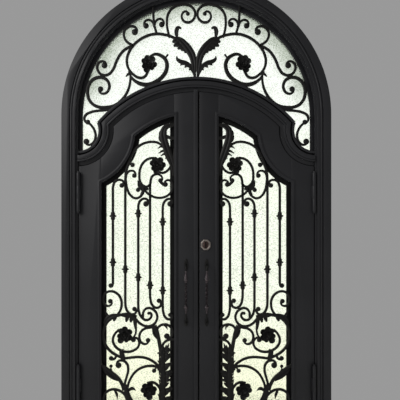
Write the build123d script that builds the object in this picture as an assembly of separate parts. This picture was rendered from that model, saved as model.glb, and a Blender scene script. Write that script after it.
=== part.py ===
from build123d import *
import os
from math import atan2, cos, hypot, pi, radians, sin, sqrt

# Double entry door with a round head, sizes in millimetres.
# X runs along the wall, +Y goes indoors, +Z is up.
# The origin is the middle of the sill's underside, halfway through the frame's depth.

# Frame
unit_width = 1830.0
frame_depth = 150.0
face_width = 105.0
spring_height = 2278.0
outer_band = 52.0
bead_width = 14.0
groove_width = 5.0
groove_depth = 9.0
inner_band = 16.0
inner_band_step = 7.0
landing_step = 25.0
landing_reveal = 2.0
sill_height = 20.0
sill_nose = 9.0

# Heads: every curved edge over the doors is one distance from the leaves' top edge
shoulder_drop = 102.0
shoulder_radius = 245.0
shoulder_sweep = 96.0
crown_rise = 237.0
head_clearance = 5.0
bar_recess = 26.0
bar_bead = 12.0
bar_height = 74.0
bar_front = 14.0
bar_step = 20.0
bar_groove = 6.0

# Leaves
leaf_thickness = 50.0
leaf_setback = 27.0
jamb_clearance = 5.0
sill_clearance = 6.0
meeting_gap = 10.0
meeting_shift = 16.0
stile_width = 155.0
opening_inner_x = 152.0
rail_depth = 147.0
bottom_rail = 198.0
moulding_width = 25.0
moulding_height = 8.0
moulding_bead = 9.0
astragal_width = 29.0
astragal_height = 6.0
astragal_rise = 18.0

# Glazing
sash_setback = 26.0
sash_face = 30.0
sash_rebate = 15.0
sash_lip = 9.0
sash_depth = 24.0
glass_thickness = 10.0
glass_clearance = 1.0
transom_sash_face = 27.0

# Stops
stop_width = 20.0
stop_depth = 30.0
stop_clearance = 5.0

# Hinges
barrel_radius = 13.0
barrel_gap = 0.5
knuckle_height = 88.0
hinge_pin_radius = 6.0
hinge_pin_clearance = 0.05
finial_height = 11.0
finial_radius = 8.0
hinge_heights = (438.0, 1752.0)
jamb_web_inset = 1.0
leaf_web_inset = 3.0
axis_reach = 1.0
axis_inset = 7.0

# Pulls
pull_x = 70.0
pull_centre_z = 1068.0
pull_length = 462.0
pull_reach = 52.0
pull_rod = 7.0
pull_neck = 5.6
pull_taper = 8.0
pull_collar_radius = 12.0
pull_collar = 80.0
pull_foot_width = 22.0
pull_foot_height = 46.0
pull_foot_thickness = 10.0

# Lock
lock_x = 64.0
lock_z = 1394.0
lock_width = 68.0
lock_thickness = 10.0
lock_core_radius = 17.0
lock_core_reach = 7.0
lock_key_width = 8.0
lock_key_length = 20.0
lock_key_reach = 9.0

# Ironwork
iron_thickness = 12.0
iron_setback = 8.0
iron_width = 14.0
tip_width = 9.0
eye_radius = 15.0
bar_width = 14.0
knot_width = 30.0
knot_height = 56.0
knot_reach = 26.0
knot_root = 24.0
leaf_sheet = 7.0
leaf_rib = 32.0
rose_radius = 52.0
rose_relief = 14.0
rose_petals = 7
curve_tolerance = 0.05

# Derived places
half_width = unit_width / 2
clear_half = half_width - face_width
leaf_outer_x = clear_half - jamb_clearance
front_y = -frame_depth / 2
back_y = frame_depth / 2
leaf_y = front_y + leaf_setback
leaf_back_y = leaf_y + leaf_thickness
leaf_bottom = sill_height + sill_clearance
opening_bottom = leaf_bottom + bottom_rail
opening_outer_x = leaf_outer_x - stile_width
axis_x = clear_half - axis_inset
axis_y = leaf_y - barrel_radius - axis_reach
iron_y = leaf_y + iron_setback
sash_y = leaf_y + sash_setback
stop_y = leaf_back_y + stop_clearance
landing_y = leaf_y - landing_reveal
rail_line = -rail_depth
shoulder_centre_z = spring_height - shoulder_drop
cusp_x = -clear_half + shoulder_radius * sin(radians(shoulder_sweep))
cusp_z = shoulder_centre_z - shoulder_radius * cos(radians(shoulder_sweep))
crown_radius = (cusp_x**2 + crown_rise**2) / (2 * crown_rise)
crown_centre_z = cusp_z + crown_rise - crown_radius
left_meeting_x = meeting_shift - meeting_gap / 2
right_meeting_x = meeting_shift + meeting_gap / 2
knuckle_step = knuckle_height - barrel_gap

# The ironwork is drawn on grids: so many squares across a leaf's opening, across half the transom's glass,
# and up the transom's glass between its sash at the middle
leaf_squares = 498
transom_squares_wide = 783
transom_squares_low = 262
transom_squares_high = 783
spring_row = 2054
leaf_grid = (opening_outer_x - opening_inner_x) / leaf_squares


def at_depth(y):
    """The plane whose local x and y are the door's X and Z, facing the viewer, at depth y."""
    return Plane(origin=(0, y, 0), x_dir=(1, 0, 0), z_dir=(0, -1, 0))


def slab(face, front, back):
    """A flat outline, drawn as X and Z, given the thickness between two depths."""
    return at_depth(back) * extrude(face, amount=back - front)


def arc_about(centre, start, end):
    """The shorter arc about a centre from one point to another."""
    radius = hypot(start[0] - centre[0], start[1] - centre[1])
    first = atan2(start[1] - centre[1], start[0] - centre[0])
    turn = atan2(end[1] - centre[1], end[0] - centre[0]) - first
    turn = (turn + pi) % (2 * pi) - pi
    middle = first + turn / 2
    through = (centre[0] + radius * cos(middle), centre[1] + radius * sin(middle))
    return ThreePointArc(start, through, end)


def crown_cusp(offset):
    """Where the shoulder and crown arcs meet, on the left, this far outside the leaf's edge."""
    crown = crown_radius + offset
    shoulder = shoulder_radius - offset
    run = clear_half
    rise = shoulder_centre_z - crown_centre_z
    span = hypot(run, rise)
    along = (crown**2 - shoulder**2 + span**2) / (2 * span)
    across = sqrt(crown**2 - along**2)
    x = -along * run / span + across * rise / span
    z = crown_centre_z + along * rise / span + across * run / span
    return (x, z)


def shoulder_z(offset, x):
    """Height of the left shoulder arc at a given X."""
    return shoulder_centre_z - sqrt((shoulder_radius - offset) ** 2 - (x + clear_half) ** 2)


def crown_z(offset, x):
    """Height of the crown arc at a given X."""
    return crown_centre_z + sqrt((crown_radius + offset) ** 2 - x**2)


def left_panel(offset, outer_x, inner_x, bottom):
    """The left leaf's shape, shrunk by offset: straight sides under the shouldered head."""
    shoulder = (outer_x, shoulder_z(offset, outer_x))
    cusp = crown_cusp(offset)
    crown = (inner_x, crown_z(offset, inner_x))
    outline = [
        Line((outer_x, bottom), shoulder),
        arc_about((-clear_half, shoulder_centre_z), shoulder, cusp),
        arc_about((0, crown_centre_z), cusp, crown),
        Line(crown, (inner_x, bottom)),
        Line((inner_x, bottom), (outer_x, bottom)),
    ]
    return make_face(Curve() + outline)


def head_edges(offset, side_x):
    """The whole curved line over both doors, from left to right."""
    start = (-side_x, shoulder_z(offset, -side_x))
    cusp = crown_cusp(offset)
    far_cusp = (-cusp[0], cusp[1])
    end = (side_x, start[1])
    return [
        arc_about((-clear_half, shoulder_centre_z), start, cusp),
        arc_about((0, crown_centre_z), cusp, far_cusp),
        arc_about((clear_half, shoulder_centre_z), far_cusp, end),
    ]


def head_band(low, high, side_x):
    """A band of even height that follows the heads of both doors."""
    sides = [
        Line((x, shoulder_z(low, -side_x)), (x, shoulder_z(high, -side_x)))
        for x in (-side_x, side_x)
    ]
    return make_face(Curve() + head_edges(low, side_x) + head_edges(high, side_x) + sides)


def transom_panel(offset, inset):
    """The window over the doors: the round head above, the doors' heads below."""
    side = clear_half - inset
    low = shoulder_z(offset, -side)
    outline = head_edges(offset, side) + [
        Line((-side, low), (-side, spring_height)),
        Line((side, low), (side, spring_height)),
        arc_about((0, spring_height), (-side, spring_height), (0, spring_height + side)),
        arc_about((0, spring_height), (side, spring_height), (0, spring_height + side)),
    ]
    return make_face(Curve() + outline)


def other_hand(shape):
    """The right-hand twin."""
    return mirror(shape, about=Plane.YZ)


# Frame profile: distance from the clear opening against depth, with its bead and steps
def face_profile():
    band_start = landing_step - groove_width - groove_width / 2
    bead_start = face_width - outer_band - groove_width - bead_width
    points = [
        (0, back_y),
        (0, landing_y),
        (band_start - groove_width, landing_y),
        (band_start - groove_width, front_y + inner_band_step),
        (band_start + inner_band, front_y + inner_band_step),
        (band_start + inner_band, front_y + groove_depth),
        (bead_start, front_y + groove_depth),
    ]
    bead = ThreePointArc(
        (bead_start, front_y + groove_depth),
        (bead_start + bead_width / 2, front_y + 1),
        (bead_start + bead_width, front_y + groove_depth),
    )
    rest = [
        (bead_start + bead_width, front_y + groove_depth),
        (face_width - outer_band, front_y + groove_depth),
        (face_width - outer_band, front_y),
        (face_width, front_y),
        (face_width, back_y),
        (0, back_y),
    ]
    return make_face(Curve() + [Polyline(*points), bead, Polyline(*rest)])


def make_jamb():
    return extrude(Pos(clear_half, 0) * face_profile(), amount=spring_height)


def make_arch():
    section = Pos(clear_half, 0, spring_height) * face_profile()
    axle = Axis((0, 0, spring_height), (0, -1, 0))
    return revolve(section, axis=axle, revolution_arc=180)


def make_sill():
    profile = Polyline(
        (front_y, 0),
        (back_y, 0),
        (back_y, sill_height),
        (front_y + sill_height, sill_height),
        (front_y, sill_nose),
        close=True,
    )
    side = Plane(origin=(-clear_half, 0, 0), x_dir=(0, 1, 0), z_dir=(1, 0, 0))
    return extrude(side * make_face(profile), amount=2 * clear_half)


def make_transom_bar():
    """Recess, bead and band, one above the other, in front of one solid bar."""
    recess_top = head_clearance + bar_recess
    bead_top = recess_top + bar_bead
    groove_top = bead_top + groove_width / 2
    face = front_y + bar_front
    recess = leaf_y + bar_step / 2
    body = slab(head_band(head_clearance, bar_height, clear_half), recess, back_y)
    bead = slab(head_band(recess_top, bead_top, clear_half), face, recess)
    band = slab(head_band(groove_top, bar_height, clear_half), face, recess)
    neck = slab(head_band(bead_top, groove_top, clear_half), face + bar_groove, recess)
    return body + bead + neck + band


def make_head_stop():
    band = head_band(-stop_width + head_clearance, head_clearance, clear_half)
    return slab(band, stop_y, stop_y + stop_depth)


def make_side_stop():
    top = shoulder_z(head_clearance - stop_width, -clear_half)
    size = (stop_width, stop_depth, top - sill_height)
    place = Pos(clear_half - stop_width / 2, stop_y + stop_depth / 2, sill_height + size[2] / 2)
    blank = place * Box(*size)
    return blank - other_hand(make_head_stop())


def rebated_ring(outer, inner, rebate, front, depth):
    """A glazing frame: a lip in front, and behind it the rebate that the glass drops into."""
    lip = slab(outer - inner, front, front + sash_lip)
    wall = slab(outer - rebate, front + sash_lip, front + depth)
    return lip + wall


def make_transom_sash():
    outer = transom_panel(bar_height, 0)
    inner = transom_panel(bar_height + transom_sash_face, transom_sash_face)
    rebate = transom_panel(bar_height + sash_rebate, sash_rebate)
    return rebated_ring(outer, inner, rebate, sash_y, sash_depth)


def make_transom_glass():
    inset = sash_rebate + glass_clearance
    front = sash_y + sash_lip
    return slab(transom_panel(bar_height + inset, inset), front, front + glass_thickness)


# Leaf framing
def leaf_blank():
    return left_panel(0, -leaf_outer_x, left_meeting_x, leaf_bottom)


def opening_face(grow=0.0):
    """The opening through the left leaf, larger by grow all round."""
    outer, inner = opening_outer_x + grow, opening_inner_x - grow
    return left_panel(rail_line + grow, -outer, -inner, opening_bottom - grow)


def strip(x0, x1, z0, z1):
    return Pos((x0 + x1) / 2, (z0 + z1) / 2) * Rectangle(x1 - x0, z1 - z0)


def make_hinge_stile():
    shape = leaf_blank() & strip(-leaf_outer_x, -opening_outer_x, leaf_bottom, unit_width * 2)
    return slab(shape, leaf_y, leaf_back_y)


def make_meeting_stile(meeting_x):
    """Given as a left stile, for either hand's meeting edge."""
    panel = left_panel(0, -leaf_outer_x, meeting_x, leaf_bottom)
    shape = panel & strip(-opening_inner_x, meeting_x, leaf_bottom, unit_width * 2)
    return slab(shape, leaf_y, leaf_back_y)


def make_top_rail():
    middle = strip(-opening_outer_x, -opening_inner_x, opening_bottom + sash_face, unit_width * 2)
    return slab((leaf_blank() & middle) - opening_face(), leaf_y, leaf_back_y)


def make_bottom_rail():
    return slab(strip(-opening_outer_x, -opening_inner_x, leaf_bottom, opening_bottom), leaf_y, leaf_back_y)


def make_moulding():
    flat = slab(opening_face(moulding_width) - opening_face(), leaf_y - moulding_height / 2, leaf_y)
    bead = slab(
        opening_face(moulding_bead * 2) - opening_face(moulding_bead),
        leaf_y - moulding_height,
        leaf_y - moulding_height / 2,
    )
    return flat + bead


def make_leaf_sash():
    return rebated_ring(
        opening_face(), opening_face(-sash_face), opening_face(-sash_rebate), sash_y, leaf_back_y - sash_y
    )


def make_leaf_glass():
    front = sash_y + sash_lip
    return slab(opening_face(-sash_rebate - glass_clearance), front, front + glass_thickness)


def make_astragal():
    top = crown_z(0, 0) + astragal_rise
    face = strip(left_meeting_x - astragal_width, left_meeting_x, leaf_bottom, top)
    return slab(face, leaf_y - astragal_height, leaf_y)


# Hinges: two outer knuckles on the frame carry the pin, the middle one is on the leaf
def hinge_post(base_z, height, radius):
    return Pos(-axis_x, axis_y, base_z + height / 2) * Cylinder(radius, height)


def hinge_tab(side, inset, base_z, height, face_y):
    """The tab that ties a knuckle to the face behind it, on the jamb's side or the leaf's."""
    middle = Pos(-axis_x + side * (barrel_radius / 2 + inset), (axis_y + face_y) / 2, base_z + height / 2)
    return middle * Box(barrel_radius, face_y - axis_y, height)


def make_frame_hinge(centre_z):
    low = centre_z - knuckle_height * 1.5
    pin = hinge_post(low, knuckle_height * 3, hinge_pin_radius)
    parts = pin
    for base in (low, low + 2 * knuckle_height):
        parts = parts + hinge_post(base, knuckle_step, barrel_radius)
        parts = parts + hinge_tab(-1, jamb_web_inset, base, knuckle_step, landing_y)
    for base in (low - finial_height, low + 2 * knuckle_height + knuckle_step):
        parts = parts + hinge_post(base, finial_height, finial_radius)
    return parts


def make_leaf_hinge(centre_z):
    base = centre_z - (knuckle_height - barrel_gap) / 2
    height = knuckle_height - barrel_gap * 2
    knuckle = hinge_post(base, height, barrel_radius)
    tab = hinge_tab(1, leaf_web_inset, base, height, leaf_y)
    bore = hinge_post(base, height, hinge_pin_radius + hinge_pin_clearance)
    return knuckle + tab - bore


def turned(points, x, y, z):
    """A turned form about an upright axle: radius against height."""
    outline = make_face(Polyline((0, points[0][1]), *points, (0, points[-1][1]), (0, points[0][1])))
    return Pos(x, y, z) * revolve(Plane.XZ * outline, axis=Axis.Z)


def make_pull(x):
    half = pull_length / 2
    collar_in = half - pull_foot_height / 2
    collar_out = collar_in - pull_collar
    profile = [
        (pull_neck, -half),
        (pull_neck, -collar_in),
        (pull_rod, -collar_in + pull_taper),
        (pull_collar_radius, -collar_out - pull_taper),
        (pull_rod, -collar_out),
        (pull_rod, collar_out),
        (pull_collar_radius, collar_out + pull_taper),
        (pull_rod, collar_in - pull_taper),
        (pull_neck, collar_in),
        (pull_neck, half),
    ]
    body = turned(profile, x, leaf_y - pull_reach, pull_centre_z)
    for side in (-1, 1):
        z = pull_centre_z + side * (half - pull_foot_height / 2)
        foot = Pos(x, leaf_y - pull_foot_thickness / 2, z) * Box(
            pull_foot_width, pull_foot_thickness, pull_foot_height
        )
        post = Pos(x, leaf_y - pull_reach / 2, z) * Rot(90, 0, 0) * Cylinder(pull_rod, pull_reach)
        body = body + foot + post
    return body


def make_lock():
    plate = Pos(lock_x, lock_z) * RegularPolygon(lock_width / 2, 8, major_radius=False, rotation=22.5)
    core = Pos(lock_x, lock_z) * Circle(lock_core_radius)
    key = Pos(lock_x, lock_z) * SlotOverall(lock_key_length, lock_key_width, rotation=90)
    face = leaf_y - lock_thickness
    body = slab(plate, face, leaf_y)
    body = body + slab(core, face - lock_core_reach, face)
    return body + slab(key, face - lock_core_reach - lock_key_reach, face - lock_core_reach)


def fused(shapes):
    total = Sketch()
    return total + shapes


# Scrolls: a flat bar led through chosen points by pairs of tangent arcs
def heading_at(points, i):
    """Direction of the circle through a point and its two neighbours."""
    if len(points) == 2:
        return atan2(points[1][1] - points[0][1], points[1][0] - points[0][0])
    if i == 0:
        near = heading_at(points, 1)
        chord = atan2(points[1][1] - points[0][1], points[1][0] - points[0][0])
        return 2 * chord - near
    if i == len(points) - 1:
        near = heading_at(points, i - 1)
        chord = atan2(points[i][1] - points[i - 1][1], points[i][0] - points[i - 1][0])
        return 2 * chord - near
    before = (points[i][0] - points[i - 1][0], points[i][1] - points[i - 1][1])
    after = (points[i + 1][0] - points[i][0], points[i + 1][1] - points[i][1])
    d0 = hypot(*before)
    d1 = hypot(*after)
    x = before[0] * d1 / d0 + after[0] * d0 / d1
    z = before[1] * d1 / d0 + after[1] * d0 / d1
    return atan2(z, x)


def joint_between(p, a, q, b):
    """Where the two arcs meet that leave p heading a and reach q heading b."""
    v = (q[0] - p[0], q[1] - p[1])
    t = (cos(a) + cos(b), sin(a) + sin(b))
    vv = v[0] ** 2 + v[1] ** 2
    vt = v[0] * t[0] + v[1] * t[1]
    k = 2 * (1 - cos(a - b))
    if k < 1e-6:
        reach = vv / (2 * vt)
    else:
        reach = (-vt + sqrt(vt**2 + k * vv)) / k
    x = (p[0] + q[0] + reach * (cos(a) - cos(b))) / 2
    z = (p[1] + q[1] + reach * (sin(a) - sin(b))) / 2
    return (x, z)


def bar_stations(points, leaving=None):
    """Start, middle and end of every arc of the bar's centre line, each with its heading."""
    headings = [heading_at(points, i) for i in range(len(points))]
    if leaving is not None:
        headings[0] = leaving
    arcs = []
    for i in range(len(points) - 1):
        p, q = points[i], points[i + 1]
        a, b = headings[i], headings[i + 1]
        m = joint_between(p, a, q, b)
        for start, heading, end in ((p, a, m), (m, None, q)):
            chord = atan2(end[1] - start[1], end[0] - start[0])
            if heading is None:
                heading = arcs[-1][2][1]
            half_turn = (chord - heading + pi) % (2 * pi) - pi
            length = hypot(end[0] - start[0], end[1] - start[1])
            sagitta = length / 2 * sin(half_turn / 2) / cos(half_turn / 2)
            middle = (
                (start[0] + end[0]) / 2 + sagitta * sin(chord),
                (start[1] + end[1]) / 2 - sagitta * cos(chord),
            )
            arcs.append(((start, heading), (middle, chord), (end, heading + 2 * half_turn)))
    return arcs


def side_step(station, width):
    (x, z), heading = station
    return (x - sin(heading) * width, z + cos(heading) * width)


def edge_through(a, m, b):
    """An arc through three points, or a line where they are in line."""
    bow = abs((b[0] - a[0]) * (m[1] - a[1]) - (b[1] - a[1]) * (m[0] - a[0]))
    if bow < curve_tolerance * hypot(b[0] - a[0], b[1] - a[1]):
        return Line(a, b)
    return ThreePointArc(a, m, b)


def forged_bar(points, width=iron_width, start=None, end=None, leaving=None):
    """A flat bar through the points, drawn down from width to a narrower start or end if given."""
    arcs = bar_stations(points, leaving)
    count = len(arcs)
    first = (start or width) / 2
    last = (end or width) / 2
    middle = width / 2

    def half_at(step):
        share = step / (2 * count)
        if share < 0.5:
            return first + (middle - first) * share * 2
        return middle + (last - middle) * (share * 2 - 1)

    edges = []
    for i, (s, m, e) in enumerate(arcs):
        w0, w1, w2 = half_at(2 * i), half_at(2 * i + 1), half_at(2 * i + 2)
        for side in (-1, 1):
            edges.append(
                edge_through(side_step(s, side * w0), side_step(m, side * w1), side_step(e, side * w2))
            )
    start_station, end_station = arcs[0][0], arcs[-1][2]
    for station, half in ((start_station, first), (end_station, last)):
        edges.append(Line(side_step(station, -half), side_step(station, half)))
    return make_face(Curve() + edges)


def eye(place, radius=eye_radius):
    return Pos(*place) * Circle(radius)


def scroll(points, radius=eye_radius, width=iron_width, leaving=None):
    """A bar drawn down towards its end, with a round eye forged on the inner side of its curl."""
    last = bar_stations(points, leaving)[-1]
    inward = 1 if sin(last[2][1] - last[1][1]) > 0 else -1
    centre = side_step(last[2], inward * (radius - tip_width / 2))
    return [forged_bar(points, width, end=tip_width, leaving=leaving), eye(centre, radius)]


def knot(place):
    """The forged collar on an upright bar: a bead over and under a ring with points at its sides."""
    x, z = place
    bead_height = (knot_height - knot_width) / 2
    points = Polyline(
        (x - knot_reach, z), (x, z + knot_root / 2), (x + knot_reach, z), (x, z - knot_root / 2), close=True
    )
    beads = [Pos(x, z + side * bead_height) * Circle(knot_width / 2) for side in (-1, 1)]
    return fused([make_face(points), *beads])


def leaf_blade(points, width):
    """A pointed leaf led through the points, widest in the middle."""
    return forged_bar(points, width, start=3, end=3)


def lobe(root, through, tip, width):
    """One pointed lobe of an acanthus leaf."""
    return leaf_blade([root, through, tip], width)


def on_leaf(points):
    """Grid points of a leaf's ironwork as X and Z.

    Rows of the upper half hang from the springing line, those of the lower half stand on the opening's edge.
    """
    placed = []
    for across, up in points:
        x = -opening_outer_x + across * leaf_grid
        if up < spring_row / 2:
            placed.append((x, opening_bottom + up * leaf_grid))
        else:
            placed.append((x, spring_height - (spring_row - up) * leaf_grid))
    return placed


def on_transom(points):
    """Grid points of the transom's ironwork as X and Z."""
    low = crown_z(bar_height + transom_sash_face, 0)
    high = spring_height + clear_half - transom_sash_face
    square_x = (clear_half - transom_sash_face) / transom_squares_wide
    square_z = (high - low) / (transom_squares_high - transom_squares_low)
    return [(across * square_x, low + (up - transom_squares_low) * square_z) for across, up in points]


# Upright bars: grid column, top and bottom of the straight run
upright_runs = ((77, 1532, 930), (162, 1628, 780), (251, 1416, 759), (332, 1607, 841), (419, 1409, 759))
knots = ((77, 1367), (77, 1049), (162, 1001), (251, 1384), (251, 946), (332, 891), (419, 1327), (419, 855))
leaf_roses = ((385, 1713), (159, 551), (325, 171))
transom_rose = (-325, 353)


def leaf_bars():
    """Five upright bars with hooked ends and pointed collars."""
    shapes = []
    for column, top, foot in upright_runs:
        (x, high), (x, low) = on_leaf([(column, top), (column, foot)])
        shapes.append(strip(x - bar_width / 2, x + bar_width / 2, low, high))
    hooks = [
        ([(77, 1532), (79, 1573), (94, 1605), (122, 1615), (148, 1603), (150, 1580)], eye_radius),
        ([(77, 930), (76, 899), (68, 880)], eye_radius),
        ([(162, 780), (166, 739), (183, 705), (211, 691), (235, 705), (235, 726)], eye_radius),
        ([(251, 1416), (254, 1450), (271, 1477), (296, 1486), (317, 1473), (319, 1450)], eye_radius + 3),
        (
            [(251, 759), (256, 708), (276, 670), (306, 652), (335, 666), (341, 692), (325, 705)],
            eye_radius - 4,
        ),
        ([(332, 841), (335, 793), (347, 756), (376, 736), (405, 752), (404, 784)], eye_radius),
        ([(419, 1409), (423, 1447), (438, 1473), (462, 1484), (482, 1472), (484, 1451)], eye_radius + 3),
        ([(419, 759), (423, 708), (438, 670), (464, 657), (484, 670), (479, 692)], eye_radius),
    ]
    for points, radius in hooks:
        leaving = pi / 2 if points[1][1] > points[0][1] else -pi / 2
        shapes += scroll(on_leaf(points), radius, leaving=leaving)
    return shapes + [knot(place) for place in on_leaf(knots)]


def upper_scrolls():
    """The scrolls under the leaf's head, around the highest rose."""
    head_arc = [
        (162, 1628), (166, 1672), (179, 1707), (190, 1744), (205, 1782), (230, 1823), (267, 1854),
        (308, 1871), (352, 1876), (393, 1866), (428, 1834), (458, 1796), (477, 1754), (475, 1713),
        (453, 1680), (421, 1663), (390, 1669),
    ]
    rose_scroll = [
        (359, 1766), (321, 1759), (287, 1734), (265, 1693), (259, 1648), (264, 1604), (284, 1577),
        (308, 1568), (330, 1581), (337, 1614), (347, 1639), (371, 1653), (398, 1649), (416, 1628),
        (412, 1605),
    ]
    left_scroll = [
        (291, 1556), (282, 1522), (259, 1496), (229, 1489), (200, 1507), (179, 1542), (168, 1590),
        (166, 1635), (178, 1666), (204, 1678), (228, 1667), (234, 1642),
    ]
    right_scroll = [
        (291, 1556), (311, 1527), (342, 1505), (383, 1492), (428, 1496), (465, 1517), (485, 1553),
        (484, 1590), (464, 1612), (439, 1607), (426, 1585),
    ]
    return [
        forged_bar(on_leaf(head_arc), leaving=pi / 2),
        forged_bar(on_leaf([(185, 1731), (198, 1725), (211, 1720)]), tip_width),
        *[eye(place) for place in on_leaf([(212, 1718)])],
        *scroll(on_leaf(rose_scroll)),
        *scroll(on_leaf(left_scroll)),
        *scroll(on_leaf([(321, 1549), (291, 1560), (265, 1562), (244, 1553)])),
        *scroll(on_leaf(right_scroll), eye_radius + 1),
        forged_bar(on_leaf([(405, 1598), (424, 1580)]), tip_width),
    ]


def middle_scrolls():
    """The scrolls around the middle rose, down to the joint at the trunk's head."""
    outer_scroll = [
        (99, 679), (126, 715), (137, 759), (129, 804), (103, 836), (65, 850), (30, 839), (11, 807),
        (15, 772), (40, 749), (67, 761), (68, 787),
    ]
    great_scroll = [
        (236, 660), (198, 679), (154, 687), (106, 681), (60, 657), (26, 616), (11, 561), (18, 503),
        (48, 451), (96, 414), (150, 390),
    ]
    rose_scroll = [
        (120, 588), (89, 554), (77, 514), (91, 475), (127, 446), (174, 434), (222, 445), (253, 473),
        (255, 510), (234, 531), (210, 525),
    ]
    cradle = [
        (233, 660), (267, 626), (308, 610), (351, 619), (378, 653), (378, 694), (351, 726), (315, 734),
        (289, 713), (283, 670),
    ]
    small_scroll = [
        (366, 605), (332, 601), (294, 592), (267, 568), (259, 530), (274, 497), (304, 488), (328, 510),
    ]
    side_scroll = [
        (375, 575), (395, 609), (428, 622), (462, 614), (484, 586), (483, 549), (462, 527), (439, 531),
    ]
    stem = [(359, 612), (381, 568), (392, 520), (401, 465), (406, 404)]
    return [
        *scroll(on_leaf(outer_scroll)),
        forged_bar(on_leaf(great_scroll), iron_width + 1),
        *scroll(on_leaf(rose_scroll), eye_radius + 1),
        forged_bar(on_leaf([(138, 448), (146, 390)]), iron_width * 2),
        forged_bar(on_leaf(cradle)),
        *scroll(on_leaf(small_scroll)),
        *scroll(on_leaf(side_scroll), eye_radius + 3),
        forged_bar(on_leaf(stem), iron_width * 1.5, start=iron_width * 2.2, end=iron_width),
        forged_bar(on_leaf([(342, 622), (366, 598)]), iron_width * 1.5),
        forged_bar(on_leaf([(412, 438), (419, 479), (436, 504), (467, 518), (510, 521)])),
        leaf_blade(on_leaf([(17, 728), (35, 692), (68, 659)]), iron_width),
        leaf_blade(on_leaf([(219, 668), (185, 657), (159, 626)]), iron_width * 1.9),
        leaf_blade(on_leaf([(120, 675), (93, 657), (84, 624)]), iron_width),
        leaf_blade(on_leaf([(228, 660), (234, 609), (211, 537)]), iron_width * 2),
    ]


def foot_scrolls():
    """The trunk at the foot of the opening, with the scrolls and the lowest rose that it bears."""
    trunk_scroll = [
        (159, 171), (160, 219), (173, 267), (182, 311), (171, 356), (139, 375), (109, 366), (101, 339),
    ]
    rose_arc = [
        (176, 157), (181, 205), (200, 254), (233, 298), (277, 326), (325, 337), (373, 332), (409, 306),
        (430, 260),
    ]
    rose_ring = [
        (178, 164), (202, 109), (243, 58), (298, 32), (352, 41), (395, 82), (410, 137), (394, 192),
        (354, 224), (311, 219),
    ]
    foot_scroll = [
        (174, 103), (161, 137), (137, 159), (103, 174), (62, 174), (31, 155), (14, 123), (12, 79), (34, 38),
        (74, 21), (109, 36), (120, 68),
    ]
    return [
        forged_bar(on_leaf([(140, 386), (205, 395), (260, 398), (311, 389), (356, 366), (404, 325)])),
        *scroll(on_leaf(trunk_scroll), eye_radius + 4),
        forged_bar(
            on_leaf([(153, 171), (138, 215), (113, 254), (75, 287), (38, 316), (-10, 349)]),
            iron_width * 1.3,
        ),
        leaf_blade(on_leaf([(82, 277), (65, 301), (64, 339)]), iron_width),
        *scroll(on_leaf([(103, 414), (89, 388), (65, 379)])),
        forged_bar(on_leaf(rose_arc)),
        forged_bar(on_leaf([(376, 328), (361, 308)]), tip_width),
        *[eye(place) for place in on_leaf([(360, 304)])],
        forged_bar(on_leaf(rose_ring)),
        *scroll(on_leaf(foot_scroll), eye_radius + 3),
        leaf_blade(on_leaf([(86, 174), (103, 144), (109, 109)]), iron_width),
        leaf_blade(on_leaf([(181, 164), (209, 181), (233, 168)]), iron_width * 1.3),
        forged_bar(on_leaf([(159, 205), (171, 150), (188, 96), (192, -14)]), iron_width * 1.6),
    ]


def upper_acanthus():
    """The leaf that rolls over at the head of the opening's inner side."""
    roll = [(506, 1731), (465, 1799), (428, 1867), (415, 1932), (438, 1978), (506, 1997)]
    lobes = (
        ((434, 1860), (414, 1834), (386, 1833)),
        ((448, 1833), (424, 1807), (397, 1804)),
        ((464, 1809), (438, 1782), (412, 1778)),
        ((482, 1785), (458, 1758), (436, 1751)),
    )
    return [
        forged_bar(on_leaf(roll), leaf_rib),
        forged_bar(on_leaf([(496, 1997), (492, 1874), (499, 1731)]), leaf_rib * 0.7),
        leaf_blade(on_leaf([(506, 1912), (469, 1922), (424, 1908)]), leaf_rib * 0.8),
        *[lobe(*on_leaf(points), iron_width * 1.3) for points in lobes],
    ]


def lower_acanthus():
    """The column of leaves that climbs the lower half of the opening's inner side."""
    foot, head, column, reach, tiers = 10, 500, 452, 44, 8
    step = (head - foot) / tiers
    shapes = [forged_bar(on_leaf([(column, foot), (column, head)]), leaf_rib)]
    for tier in range(tiers):
        low = foot + tier * step
        for side in (-1, 1):
            start = low if side < 0 else low + step * 0.4
            points = [(column, start), (column + side * reach * 0.75, start + step * 0.4)]
            points.append((column + side * reach, start + step * 0.95))
            shapes.append(lobe(*on_leaf(points), leaf_rib * 0.9))
    return shapes


def rose_outline(radius, petals=rose_petals):
    """Round petals about a middle."""
    ring = radius * 0.62
    shapes = [Circle(radius * 0.7)]
    for i in range(petals):
        turn = 2 * pi * i / petals
        shapes.append(Pos(ring * cos(turn), ring * sin(turn)) * Circle(radius - ring))
    return fused(shapes)


def make_rose(place, depth):
    """A rose in three tiers, set on the ironwork's face at a depth."""
    tier_height = rose_relief / 3
    tiers = ((1.0, 0), (0.68, 25), (0.34, 50))
    body = None
    for i, (share, turn) in enumerate(tiers):
        outline = Pos(*place) * Rot(0, 0, turn) * rose_outline(rose_radius * share)
        tier = slab(outline, depth - tier_height * (i + 1), depth - tier_height * i)
        body = tier if body is None else body + tier
    return body


def left_grille(shapes, front=iron_y, back=iron_y + iron_thickness):
    """Ironwork of the left leaf, trimmed to the opening that it is welded into."""
    return slab(fused(shapes) & opening_face(), front, back)


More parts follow.
